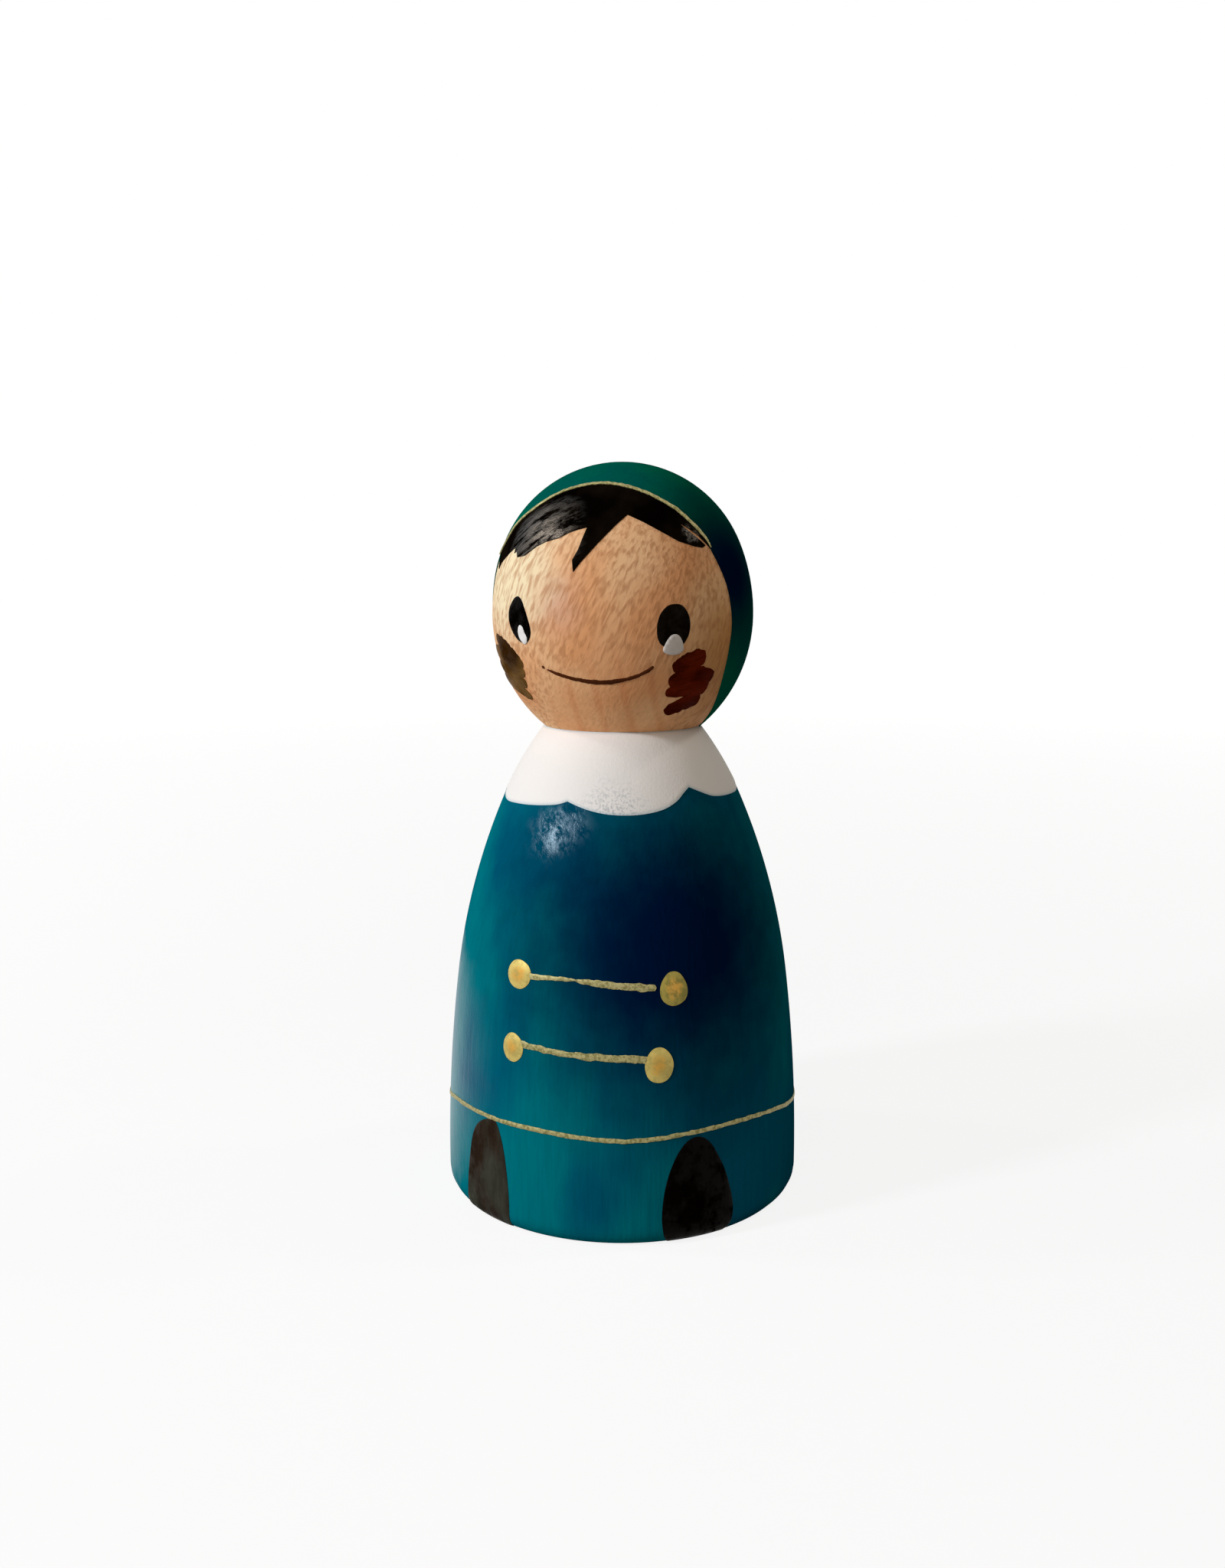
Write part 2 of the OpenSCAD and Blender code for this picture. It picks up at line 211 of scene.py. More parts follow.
def head_arcs():
    """Chin, lower cheeks, temples and crown, each tangent to the one before it."""
    chin_r = HEAD_R - CHIN_FLAT
    chin_rise = math.sqrt(chin_r**2 - NECK_R**2)
    left = CROWN_H - BODY_H - chin_rise - CHIN_FLAT * CHIN_DROP - HEAD_R
    crown_flat = round(left / (CROWN_LIFT - 1), 3)
    crown_r = HEAD_R - crown_flat
    crown_z = CROWN_H - crown_r
    wide_z = crown_z - crown_flat * CROWN_LIFT
    chin_z = wide_z - CHIN_FLAT * CHIN_DROP
    lower_r = HEAD_R + CHIN_FLAT * (CHIN_DROP**2 - 1) / 2
    upper_r = HEAD_R + crown_flat * (CROWN_LIFT**2 - 1) / 2
    chin_end = -math.atan2(2 * CHIN_DROP, CHIN_DROP**2 - 1)
    crown_start = math.atan2(2 * CROWN_LIFT, CROWN_LIFT**2 - 1)
    return [
        ((0, chin_z), chin_r, math.asin((BODY_H - chin_z) / chin_r), chin_end),
        ((HEAD_R - lower_r, wide_z), lower_r, chin_end, 0.0),
        ((HEAD_R - upper_r, wide_z), upper_r, 0.0, crown_start),
        ((0, crown_z), crown_r, crown_start, math.pi / 2),
    ]


BODY_TURNING = Turning(body_arcs())
HEAD_TURNING = Turning(head_arcs())


# Outlines and strokes, given as turns in degrees and heights in millimetres


def spline(points, spacing, closed=False, lap=0):
    """Smooth curve through points of any number of values, as points about one spacing apart. A closed curve
    that goes round the doll adds a lap to the turn each time that it comes back to its first point."""
    count = len(points)

    def point(index):
        if not closed:
            return points[min(max(index, 0), count - 1)]
        laps, index = divmod(index, count)
        return (points[index][0] + laps * lap,) + tuple(points[index][1:])

    out = []
    for i in range(count if closed else count - 1):
        a, b, c, d = (point(i + k) for k in (-1, 0, 1, 2))
        span = math.hypot((c[0] - b[0]) * DEGREE, c[1] - b[1])
        steps = max(1, round(span / spacing))
        for k in range(steps):
            t = k / steps
            out.append(tuple(
                0.5 * (2 * q + (r - p) * t + (2 * p - 5 * q + 4 * r - s) * t * t
                       + (3 * q - p - 3 * r + s) * t**3)
                for p, q, r, s in zip(a, b, c, d)
            ))
    if not closed:
        out.append(tuple(points[-1]))
    return out


def seen_turn(x, height):
    """Turn at which a point of the face seen from the front, x to the right of the axis, lies on the head."""
    radius = HEAD_TURNING.station(HEAD_TURNING.reach(height), FACE_FILM)[0]
    return math.degrees(math.asin(max(-1.0, min(1.0, x / radius))))


def on_sheet(points, turning):
    """Turns and heights, as places on a flat sheet."""
    return [(turn * DEGREE, turning.reach(height)) for turn, height in points]


# Modelling: a flat sheet or strip is cut, thickened and laid on the doll


def deselect():
    """Leaves edit mode, with nothing selected."""
    if bpy.context.mode != "OBJECT":
        bpy.ops.object.mode_set(mode="OBJECT")
    bpy.ops.object.select_all(action="DESELECT")


def thicken():
    """In edit mode, gives the whole sheet an underside at zero, and points its faces outwards."""
    bpy.ops.mesh.select_all(action="SELECT")
    bpy.ops.mesh.extrude_region_move(TRANSFORM_OT_translate={"value": (0, 0, 0)})
    bpy.ops.mesh.select_all(action="INVERT")
    bpy.ops.transform.resize(value=(1, 1, 0), center_override=(0, 0, 0))
    bpy.ops.mesh.select_all(action="SELECT")
    bpy.ops.mesh.normals_make_consistent(inside=False)


def at_seam(centre):
    """Whether a wall stands where the two ends of a sheet meet."""
    return abs(centre.x) > HALF_SHEET - NEAR


def open_walls(sheet, *tests):
    """Removes the upright walls of a thickened sheet whose centre passes one of the tests."""
    bpy.ops.mesh.select_all(action="DESELECT")
    bpy.ops.object.mode_set(mode="OBJECT")
    for face in sheet.data.polygons:
        face.select = abs(face.normal.z) < 0.5 and any(test(face.center) for test in tests)
    bpy.ops.object.mode_set(mode="EDIT")
    bpy.ops.mesh.delete(type="FACE")


def cut_sheet(outline, cell, edge=0.0, rim=0.4):
    """Adds a flat sheet cut to an outline, thinner along its edge, and scored into cells."""
    deselect()
    bpy.ops.mesh.primitive_circle_add(vertices=len(outline), radius=1, fill_type="NGON", location=(0, 0, 0))
    sheet = bpy.context.object
    for vertex, (x, y) in zip(sheet.data.vertices, outline):
        vertex.co = (x, y, rim if edge else 1)
    bpy.ops.object.mode_set(mode="EDIT")
    bpy.ops.mesh.select_mode(type="FACE")
    bpy.ops.mesh.select_all(action="SELECT")
    if edge:
        bpy.ops.mesh.inset(thickness=edge, depth=0)
        bpy.ops.transform.translate(value=(0, 0, 1 - rim))
    for axis in (0, 1):
        low = min(point[axis] for point in outline)
        high = max(point[axis] for point in outline)
        count = math.ceil((high - low) / cell)
        for i in range(1, count):
            at, normal = [0, 0, 0], [0, 0, 0]
            at[axis], normal[axis] = low + (high - low) * i / count, 1
            bpy.ops.mesh.select_all(action="SELECT")
            bpy.ops.mesh.bisect(plane_co=at, plane_no=normal, threshold=1e-5)
    bpy.ops.mesh.select_mode(type="VERT")
    thicken()
    return sheet


def lay(sheet, turning, under, thick, middle=0.0):
    """Lays a thickened flat sheet on the doll, with its middle at a turn, and closes its seams. Each point
    keeps its load of paint, which is one on top where the film is whole and less at a thin edge."""
    bpy.ops.object.mode_set(mode="OBJECT")
    load = sheet.data.attributes.new("load", "FLOAT", "POINT")
    for vertex in sheet.data.vertices:
        x, y, z = vertex.co
        load.data[vertex.index].value = z
        vertex.co = turning.place(x / DEGREE + middle, y, under + thick * z)
    close_seams()
    return sheet


def close_seams():
    bpy.ops.object.mode_set(mode="EDIT")
    bpy.ops.mesh.select_all(action="SELECT")
    bpy.ops.mesh.remove_doubles(threshold=SAME_PLACE)
    bpy.ops.mesh.dissolve_degenerate(threshold=SLIVER)
    bpy.ops.object.mode_set(mode="OBJECT")
    bpy.ops.object.shade_smooth_by_angle(angle=math.radians(SMOOTH_ANGLE))


def patch(outline, turning, under, thick, cell=0.5, edge=0.0, rim=0.4):
    """A film of paint cut to a closed outline of turns and heights."""
    return lay(cut_sheet(on_sheet(outline, turning), cell, edge, rim), turning, under, thick)


def waver(along, seed, side):
    """How much wider a stroke is on one side, at a distance along it: a slow sway and half of a fine one."""
    slow = noise.noise(Vector((along * 1.7, seed * 7.3, math.copysign(3.1, side) if side else 0)))
    fine = noise.noise(Vector((along * 6.1, seed * 3.7 + 11, math.copysign(5.3, side) if side else 0)))
    return slow + 0.5 * fine


def stroke(stations, turning, under, thick, seed, ragged, across=6, ring=False, spacing=0.12):
    """A brush stroke through stations of turn, height and width, domed across, with wavering edges."""
    path = spline(stations, spacing, closed=ring, lap=360)
    if ring:
        path.append((path[0][0] + 360, path[0][1], path[0][2]))
    last = len(path) - 1
    deselect()
    bpy.ops.mesh.primitive_grid_add(x_subdivisions=last, y_subdivisions=across, size=2, location=(0, 0, 0))
    strip = bpy.context.object
    for vertex in strip.data.vertices:
        vertex.co.z = STROKE_EDGE + (1 - STROKE_EDGE) * (1 - vertex.co.y**2)
    bpy.ops.object.mode_set(mode="EDIT")
    thicken()
    if ring:
        open_walls(strip, lambda centre: abs(centre.x) > 1 - 1e-5)
    bpy.ops.object.mode_set(mode="OBJECT")
    places = []
    for i, (turn, height, width) in enumerate(path):
        before, after = path[max(i - 1, 0)], path[min(i + 1, last)]
        if ring and i in (0, last):
            before = (path[last - 1][0] - (360 if i == 0 else 0), path[last - 1][1])
            after = (path[1][0] + (0 if i == 0 else 360), path[1][1])
        along = turning.reach(height)
        a_degree = math.radians(turning.station(along, under)[0])
        run = Vector(((after[0] - before[0]) * a_degree, turning.reach(after[1]) - turning.reach(before[1])))
        run.normalize()
        places.append((turn, along, width, a_degree, run))
    # The ends are rounded over half the width of the first one, and a ring has none
    rounded = 0.0 if ring else max(places[0][2] / 2, 1e-3)
    for vertex in strip.data.vertices:
        x, y, z = vertex.co
        i = round((x + 1) / 2 * last)
        turn, along, width, a_degree, run = places[i]
        end = min(i, last - i) * spacing
        if end < rounded:
            width *= math.sqrt(max(0.02, 1 - (1 - end / rounded) ** 2))
        where = 0 if ring and i == last else i
        width *= 1 + ragged * waver(where * spacing, seed, y)
        side = y * width / 2
        vertex.co = turning.place(turn - run.y * side / a_degree, along + run.x * side, under + thick * z)
    close_seams()
    return strip


def joined(parts):
    """Several strokes as one piece."""
    deselect()
    for part in parts:
        part.select_set(True)
    bpy.context.view_layer.objects.active = parts[0]
    bpy.ops.object.join()
    return parts[0]


def finish_piece(piece, name, material, slot, *nodes):
    """Names a painted piece, gives it its finish and its body, and hides the nodes that it stands for."""
    piece.name = name
    piece.data.name = name
    piece.data.materials.clear()
    piece.data.materials.append(material)
    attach(piece, BODY)
    if nodes:
        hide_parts(*nodes)
    return piece


# Materials


def linear(hex_colour):
    """An sRGB hex colour as linear red, green, blue and opacity."""
    values = [int(hex_colour[i : i + 2], 16) / 255 for i in (1, 3, 5)]
    return tuple(v / 12.92 if v <= 0.04045 else ((v + 0.055) / 1.055) ** 2.4 for v in values) + (1.0,)


def grey(value):
    return (value, value, value, 1.0)


def add(tree, kind, settings=None, stops=()):
    """Adds a node with its settings, its inputs as values or other nodes' outputs, and a ramp's stops."""
    made = tree.nodes.new(kind)
    for name, value in (settings or {}).items():
        if isinstance(name, str) and hasattr(made, name):
            setattr(made, name, value)
        elif isinstance(value, bpy.types.NodeSocket):
            tree.links.new(value, made.inputs[name])
        else:
            made.inputs[name].default_value = value
    for element, (position, colour) in zip(made.color_ramp.elements if stops else (), stops):
        element.position = position
        element.color = colour
    return made


def new_material(name):
    material = bpy.data.materials.new(name)
    material.use_nodes = True
    material.node_tree.nodes.clear()
    return material, material.node_tree


def ramp(tree, value, low, high):
    """The colour at a value between two stops, each a position and a colour."""
    return add(tree, "ShaderNodeValToRGB", {"Fac": value}, (low, high)).outputs["Color"]


def blend(tree, share, under, over, kind="MIX"):
    """A share of one colour over another."""
    return add(
        tree, "ShaderNodeMix",
        {"data_type": "RGBA", "blend_type": kind, 0: share, 6: under, 7: over},
    ).outputs[2]


def sums(tree, operation, *values):
    """The result of a sum of numbers and other nodes' outputs."""
    return add(tree, "ShaderNodeMath", {"operation": operation, **dict(enumerate(values))}).outputs[0]


def fade(tree, value, low, high, start, end, kind="LINEAR"):
    """Runs from its start to its end while a value runs from low to high."""
    return add(
        tree, "ShaderNodeMapRange",
        {"interpolation_type": kind, "From Min": low, "From Max": high, "To Min": start, "To Max": end,
         "Value": value},
    ).outputs["Result"]


def coordinates(tree):
    return add(tree, "ShaderNodeTexCoord").outputs["Object"]


def in_mm(tree, size, turn=(0, 0, 0), move=(0, 0, 0)):
    """Object coordinates in units of a size in millimetres along each axis of a pattern, turned and moved."""
    return add(
        tree, "ShaderNodeMapping",
        {"vector_type": "TEXTURE", "Scale": tuple(MM * s for s in size),
         "Rotation": tuple(math.radians(a) for a in turn), "Location": tuple(MM * m for m in move),
         "Vector": coordinates(tree)},
    ).outputs["Vector"]


def mottle(tree, size, detail, roughness=0.5, distortion=0.0, turn=(0, 0, 0), move=(0, 0, 0)):
    """An uneven pattern with cells of a size in millimetres."""
    return add(
        tree, "ShaderNodeTexNoise",
        {"Scale": 1.0, "Detail": detail, "Roughness": roughness, "Distortion": distortion,
         "Vector": in_mm(tree, size, turn, move)},
    ).outputs["Fac"]


def soft_spot(tree, centre, inner, outer, raggedness):
    """One inside a distance from a place and nothing past a larger one, in millimetres, its border ragged."""
    away = add(
        tree, "ShaderNodeVectorMath",
        {"operation": "DISTANCE", 0: coordinates(tree), 1: tuple(MM * c for c in centre)},
    ).outputs["Value"]
    shift = sums(tree, "MULTIPLY_ADD", mottle(tree, (2, 2, 2), 3.0), raggedness * MM, -raggedness * MM / 2)
    return fade(tree, sums(tree, "ADD", away, shift), inner * MM, outer * MM, 1.0, 0.0, "SMOOTHSTEP")


def load_of_paint(tree):
    """The load that a film keeps at each point: one where it is whole, and less at a thin edge."""
    return add(tree, "ShaderNodeAttribute", {"attribute_name": "load"}).outputs["Fac"]


def finish_surface(tree, colour, height, bump_mm, settings):
    """Joins a colour and a bump of a height in millimetres to a surface shader, and that to the output."""
    bump = add(tree, "ShaderNodeBump", {"Distance": bump_mm * MM, "Strength": 1.0, "Height": height})
    surface = add(tree, "ShaderNodeBsdfPrincipled",
                  {"Base Color": colour, "Normal": bump.outputs["Normal"], **settings})
    add(tree, "ShaderNodeOutputMaterial", {"Surface": surface.outputs["BSDF"]})


def beech(name, pale, middle, fleck, rosy, cream, brown):
    """Steamed beech, turned along the grain and sanded: pale tan and rosy in the middle of the brow, with
    painted light in cream at the left of the brow and painted shade in browner wood on the right of the face,
    with short dark ray flecks 1 mm long and a quarter of a millimetre wide that lean to the right, growth
    rings that come out as curved lines at the chin, and no varnish."""
    material, tree = new_material(name)
    lean = (0, GRAIN_LEAN, 0)
    flecks = mottle(tree, (0.3, 0.3, 1.2), 1.5, distortion=0.3, turn=lean)
    pores = mottle(tree, (0.16, 0.16, 0.6), 2.0, turn=lean)
    rings = add(
        tree, "ShaderNodeTexWave",
        {"wave_type": "RINGS", "rings_direction": "SPHERICAL", "Scale": 1.0, "Distortion": 0.6, "Detail": 1.0,
         "Vector": in_mm(tree, (6.5, 6.5, 16), move=(-14, -6, 44))},
    ).outputs["Fac"]
    drift = mottle(tree, (6, 6, 10), 2.0, turn=lean, move=(3, 0, 2))
    wood = ramp(tree, drift, (0.36, pale), (0.64, middle))
    # Cream and brown are painted light and painted shade on the face; rosy is the wood's own tone
    for colour, spot in ((rosy, ROSY_BROW), (cream, PAINTED_LIGHT_BROW), (brown, PAINTED_SHADE_SIDE)):
        wood = blend(tree, soft_spot(tree, *spot), wood, colour)
    chin = soft_spot(tree, *CHIN_RINGS)
    ring_shade = ramp(tree, rings, (0.0, RING_SHADES[0]), (0.3, RING_SHADES[1]))
    wood = blend(tree, chin, wood, ring_shade, "MULTIPLY")
    # The flecks are fewer at the chin
    marked = ramp(tree, flecks, (0.44, grey(0.0)), (0.66, grey(0.6)))
    fewer = sums(tree, "MULTIPLY_ADD", chin, -0.75, 1.0)
    wood = blend(tree, sums(tree, "MULTIPLY", marked, fewer), wood, fleck)
    pore_shade = ramp(tree, pores, (0.3, grey(0.93)), (0.5, grey(1.0)))
    wood = blend(tree, 1.0, wood, pore_shade, "MULTIPLY")
    finish_surface(tree, wood, flecks, 0.045, {"Roughness": 0.6, "Specular IOR Level": 0.04})
    return material


def brushed_acrylic(name, colour, second, roughness, streak=(0.35, 0.35, 5.0), turn=(0, 0, 0), bump_mm=0.02,
                    patches=(7, 7, 12), streak_shade=0.9, gloss=0.03, polish=(2.2, 2.2, 2.6),
                    polish_turn=None, spot=None, third=None, polish_at=(), sheen_at=(), shine="#ffffff"):
    """Craft acrylic brushed on by hand: thin, slightly streaky along the brush, nearly matte, with a broken
    polish or an even sheen round the places where it was handled, and darker round a spot: painted shade on
    the coat and the hood, and darker brown at the top of the left cheek."""
    material, tree = new_material(name)
    hairs = mottle(tree, streak, 3.0, roughness=0.65, turn=turn)
    skin = mottle(tree, polish, 5.0, roughness=0.75, turn=polish_turn or turn)
    paint = ramp(tree, mottle(tree, patches, 3.0), (0.42, colour), (0.62, second))
    # The spot is painted shade on the coat and the hood, and darker brown at the top of the left cheek
    if spot:
        paint = blend(tree, soft_spot(tree, *spot), paint, third)
    streaks = ramp(tree, hairs, (0.32, grey(streak_shade)), (0.6, grey(1.0)))
    paint = blend(tree, 1.0, paint, streaks, "MULTIPLY")
    polished = fade(tree, skin, 0.42, 0.6, 0.0, gloss, "SMOOTHSTEP")
    shines = [sums(tree, "MULTIPLY", soft_spot(tree, *place), polished) for place in polish_at]
    shines += [sums(tree, "MULTIPLY", soft_spot(tree, *place), 0.5 * gloss) for place in sheen_at]
    level = shines[0] if shines else polished
    for other in shines[1:]:
        level = sums(tree, "MAXIMUM", level, other)
    finish_surface(tree, paint, sums(tree, "ADD", hairs, skin), bump_mm,
                   {"IOR": 1.48, "Roughness": roughness, "Specular Tint": linear(shine),
                    "Specular IOR Level": level})
    return material


def stippled_white(name, white, worn, edge):
    """White acrylic dabbed on over teal: chalky white, with fine grey dimples on the front scallop, and a
    little blue along the thin lower edge."""
    material, tree = new_material(name)
    dabs = mottle(tree, (0.2, 0.2, 0.24), 2.0, roughness=0.6)
    dimples = ramp(tree, dabs, (0.48, grey(0.0)), (0.62, grey(1.0)))
    dabbed = blend(tree, sums(tree, "MULTIPLY", dimples, soft_spot(tree, *FRONT_SCALLOP)), white, worn)
    thin = fade(tree, load_of_paint(tree), 0.45, 0.95, 0.55, 0.0)
    finish_surface(tree, blend(tree, thin, dabbed, edge), dabs, 0.025,
                   {"Roughness": 0.6, "Specular IOR Level": 0.1})
    return material


def gold_acrylic(name, bright, warm, deep, grit, thin_share):
    """Metallic acrylic with mica flakes, brushed on: pale yellow gold that runs to orange where it is thick,
    at the middle of a button, and to olive in small thin patches, with a fine grain."""
    material, tree = new_material(name)
    grain = mottle(tree, (grit, grit, grit), 4.0, roughness=0.7)
    thick = sums(tree, "MULTIPLY_ADD", grain, 0.5, sums(tree, "MULTIPLY", load_of_paint(tree), 0.6))
    gold = ramp(tree, thick, (0.68, bright), (0.86, warm))
    thin = ramp(tree, grain, (0.4, grey(thin_share)), (0.56, grey(0.0)))
    finish_surface(tree, blend(tree, thin, gold, deep), grain, 0.025,
                   {"Metallic": 0.3, "Roughness": 0.5, "Specular IOR Level": 0.2})
    return material


def seen_directly(tree):
    """One for what the camera sees, also mirrored or through glass, and nothing for light on the doll."""
    rays = add(tree, "ShaderNodeLightPath").outputs
    either = sums(tree, "MAXIMUM", rays["Is Camera Ray"], rays["Is Glossy Ray"])
    return sums(tree, "MAXIMUM", either, rays["Is Transmission Ray"])


def matte_paper(name, tint):
    """Seamless paper: pale, even and matte. To the camera and in reflections it glows, so that it stays white
    into the distance, and takes only part of its light from the lamps, which keeps the shadow at the foot."""
    material, tree = new_material(name)
    fibre = tuple(0.97 * c for c in tint[:3]) + (1.0,)
    colour = ramp(tree, mottle(tree, (3, 3, 3), 2.0), (0.3, fibre), (0.7, tint))
    distance = add(tree, "ShaderNodeVectorMath", {"operation": "LENGTH", 0: coordinates(tree)})
    glow = fade(tree, distance.outputs["Value"], *FLOOR_PALER, FLOOR_GLOW, 1.0)
    shaded, lit = (
        add(tree, "ShaderNodeBsdfDiffuse", {"Color": blend(tree, 1.0, colour, grey(share), "MULTIPLY")})
        for share in (FLOOR_SHADE, FLOOR_BOUNCE)
    )
    glowing = add(tree, "ShaderNodeEmission", {"Color": grey(1.0), "Strength": glow})
    pale = add(tree, "ShaderNodeAddShader", {0: shaded.outputs["BSDF"], 1: glowing.outputs["Emission"]})
    total = add(tree, "ShaderNodeMixShader",
                {0: seen_directly(tree), 1: lit.outputs["BSDF"], 2: pale.outputs["Shader"]})
    add(tree, "ShaderNodeOutputMaterial", {"Surface": total.outputs["Shader"]})
    return material


def colour_property(name, description, hex_colour):
    return bpy.props.FloatVectorProperty(
        name=name, description=description, subtype="COLOR", size=4, min=0, max=1, default=linear(hex_colour)
    )


def length_property(name, description, size_mm):
    return bpy.props.FloatProperty(name=name, description=description, default=size_mm * MM, unit="LENGTH")


class PegDollColours(bpy.types.PropertyGroup):
    """Colours of the wood, the paints and the floor."""

    wood_pale: colour_property("Pale wood", "Palest colour of the beech", "#fccd9a")
    wood_middle: colour_property("Wood", "Usual colour of the beech", "#eeaa74")
    wood_fleck: colour_property("Ray flecks", "Colour of the short dark flecks in the beech", "#b97a4c")
    wood_rosy: colour_property("Rosy wood", "Pinker beech on the brow", "#e3ae8c")
    # Painted light and painted shade: cream on the lit left of the brow, brown on the shaded right of the
    # face
    wood_painted_light: colour_property("Cream wood", "Creamier beech at the left of the brow", "#fdeabf")
    wood_painted_shade: colour_property("Brown wood", "Browner beech at the right of the face", "#cf955a")
    coat: colour_property("Coat", "Teal of the coat", "#007882")
    coat_second: colour_property("Coat, second", "Bluer teal in patches of the coat", "#005b74")
    # Painted shade: this navy stands in for the shade on the right of the coat
    coat_painted_shade: colour_property("Coat, dark", "Navy where the coat was brushed twice", "#00173a")
    hood: colour_property("Hood", "Green of the hood", "#006a4c")
    hood_second: colour_property("Hood, second", "Bluer green in patches of the hood", "#005a50")
    # Painted shade: this navy stands in for the shade on the right of the hood
    hood_painted_shade: colour_property("Hood, dark", "Navy where the hood was brushed twice", "#00102e")
    white: colour_property("White", "White of the collar and the glints", "#f7f3ec")
    white_worn: colour_property("Dimpled white", "Grey of the dimples in the front scallop", "#c2c6c6")
    white_edge: colour_property("White edge", "Bluish white along the lower edge of the collar", "#9fc0cb")
    glint_second: colour_property("Glint, second", "Warmer white in patches of the glints", "#e2d8cf")
    gold: colour_property("Gold", "Bright gold of the buttons", "#d6be6a")
    gold_warm: colour_property("Thick gold", "Oranger gold where the paint is thick", "#d6a448")
    gold_deep: colour_property("Thin gold", "Olive gold in small thin patches", "#6f6a34")
    # Painted shade: the duller gold of the upper right button, on the shaded right of the coat
    gold_painted_shade: colour_property("Olive gold", "Duller gold of the upper right button", "#a89748")
    line_gold: colour_property("Line gold", "Paler gold of the lines", "#b9ae78")
    black: colour_property("Black", "Black of the hair and the eyes", "#050302")
    black_second: colour_property("Brown black", "Browner black in patches of hair and eyes", "#140e08")
    # The grey brown of the left boot is partly thin paint and partly painted sheen from the lit left side
    left_boot: colour_property("Left boot", "Worn grey brown of the left boot", "#3d3d33")
    left_boot_second: colour_property("Left boot, second", "Browner patches of the left boot", "#2e231a")
    boots: colour_property("Right boot", "Brown black of the right boot", "#080503")
    mouth: colour_property("Mouth", "Brown of the mouth", "#5c2f16")
    mouth_second: colour_property("Mouth, second", "Darker brown in patches of the mouth", "#4a2410")
    # The olive of the left cheek is partly painted sheen: glare from the lit left side, over its brown paint
    left_cheek: colour_property("Left cheek", "Olive brown of the left cheek", "#60431c")
    left_cheek_second: colour_property("Left cheek, second", "Paler brown in its patches", "#7f5c2f")
    left_cheek_dark: colour_property("Left cheek, dark", "Dark brown at the top of the left cheek", "#3a220a")
    cheek: colour_property("Right cheek", "Red brown of the right cheek", "#4d1200")
    cheek_second: colour_property("Right cheek, second", "Redder brown in its patches", "#6e2006")
    floor: colour_property("Floor", "Colour of the paper floor", "#f6f5f3")


class PegDollSizes(bpy.types.PropertyGroup):
    """Widths and thicknesses of the lines and the buttons."""

    hem_width: length_property("Hem line", "Width of the gold hem line", 0.34)
    trim_width: length_property("Hood trim", "Width of the gold line along the hood", 0.3)
    mouth_width: length_property("Mouth line", "Width of the line of the mouth", MOUTH_WIDTH)
    button_rise: length_property("Button rise", "Height of a domed button over the coat", 0.17)
    line_rise: length_property("Line rise", "Thickness of the gold lines", 0.07)


# Places of the painted areas: turn in degrees from the front, height in millimetres, and a stroke's width

COLLAR_EDGE = [
    (-180, 33.25), (-166, 33.1), (-152, 33.2), (-141, 33.55), (-133.5, 34.3, "tip"), (-125, 33.6),
    (-112, 33.1), (-98, 33.0), (-84, 33.15), (-74, 33.75, "tip"), (-66, 33.3), (-57, 33.12), (-46, 33.18),
    (-36, 33.27), (-27, 33.4), (-19, 33.58), (-14, 33.86, "tip"), (-8.1, 33.55), (-2.3, 33.29),
    (6.5, 33.05), (16.6, 33.0), (25.2, 33.13), (32.6, 33.41), (39, 33.9), (43.3, 34.41),
    (47.4, 34.81, "tip"), (53.6, 34.38), (60.6, 33.97), (68.4, 33.81), (79.1, 33.76), (90.3, 33.78),
    (99, 34.1), (105.5, 34.7, "tip"), (114, 33.9), (127, 33.4), (140, 33.3), (151, 33.6),
    (158.5, 34.25, "tip"), (168, 33.6), (180, 33.25),
]
HEM = [
    (-171, 7.75), (-150, 7.7), (-128, 7.6), (-105, 7.4), (-90, 7.35), (-79, 7.4), (-71, 7.6), (-64, 8.05),
    (-56, 8.5), (-47, 8.74), (-33.8, 8.88), (-14.4, 8.98), (0, 8.85), (12.3, 8.72), (23.2, 8.82),
    (35.5, 9.02), (52.3, 9.05), (66, 8.72), (80, 8.1), (94, 7.55), (110, 7.4), (130, 7.5), (152, 7.65),
    (170, 7.75),
]
LEFT_BOOT = [
    (-44.9, 0.28), (-44.9, 0.82), (-44.6, 2.53), (-43.4, 4.65), (-41.5, 6.79), (-38.1, 8.06), (-32.7, 8.75),
    (-29.8, 8.6), (-27.3, 7.3), (-25.6, 5.52), (-24.4, 3.05), (-24.2, 0.98), (-24.2, 0.28),
]
RIGHT_BOOT = [
    (26.2, 0.28), (24.8, 0.95), (24.2, 2.1), (24.4, 3.4), (25.3, 4.9), (27.1, 6.4), (29.5, 7.6), (32.2, 8.35),
    (34.8, 8.6), (37.4, 8.45), (40, 7.85), (42.2, 6.9), (44.6, 5.6), (46.5, 4.1), (47.7, 2.7), (47.9, 1.7),
    (47.0, 0.8), (45.6, 0.28),
]
# The two bars, each with the number that its waver is drawn from
BARS = {
    "upper_bar": (2, [
        (-20.4, 20.8, 0.52), (-17, 20.8, 0.46), (-13, 20.86, 0.36), (-8, 20.92, 0.32), (-4.2, 20.93, 0.24),
        (-2.9, 20.92, 0.12), (-1.6, 20.88, 0.3), (3, 20.82, 0.5), (10, 20.66, 0.5), (17, 20.5, 0.56),
        (23.3, 20.42, 0.54),
    ]),
    "lower_bar": (5, [
        (-21.4, 15.56, 0.56), (-16, 15.42, 0.5), (-10, 15.32, 0.44), (-4, 15.25, 0.48), (3, 15.2, 0.56),
        (11, 15.1, 0.54), (18, 15.08, 0.6), (21, 15.0, 0.6),
    ]),
}
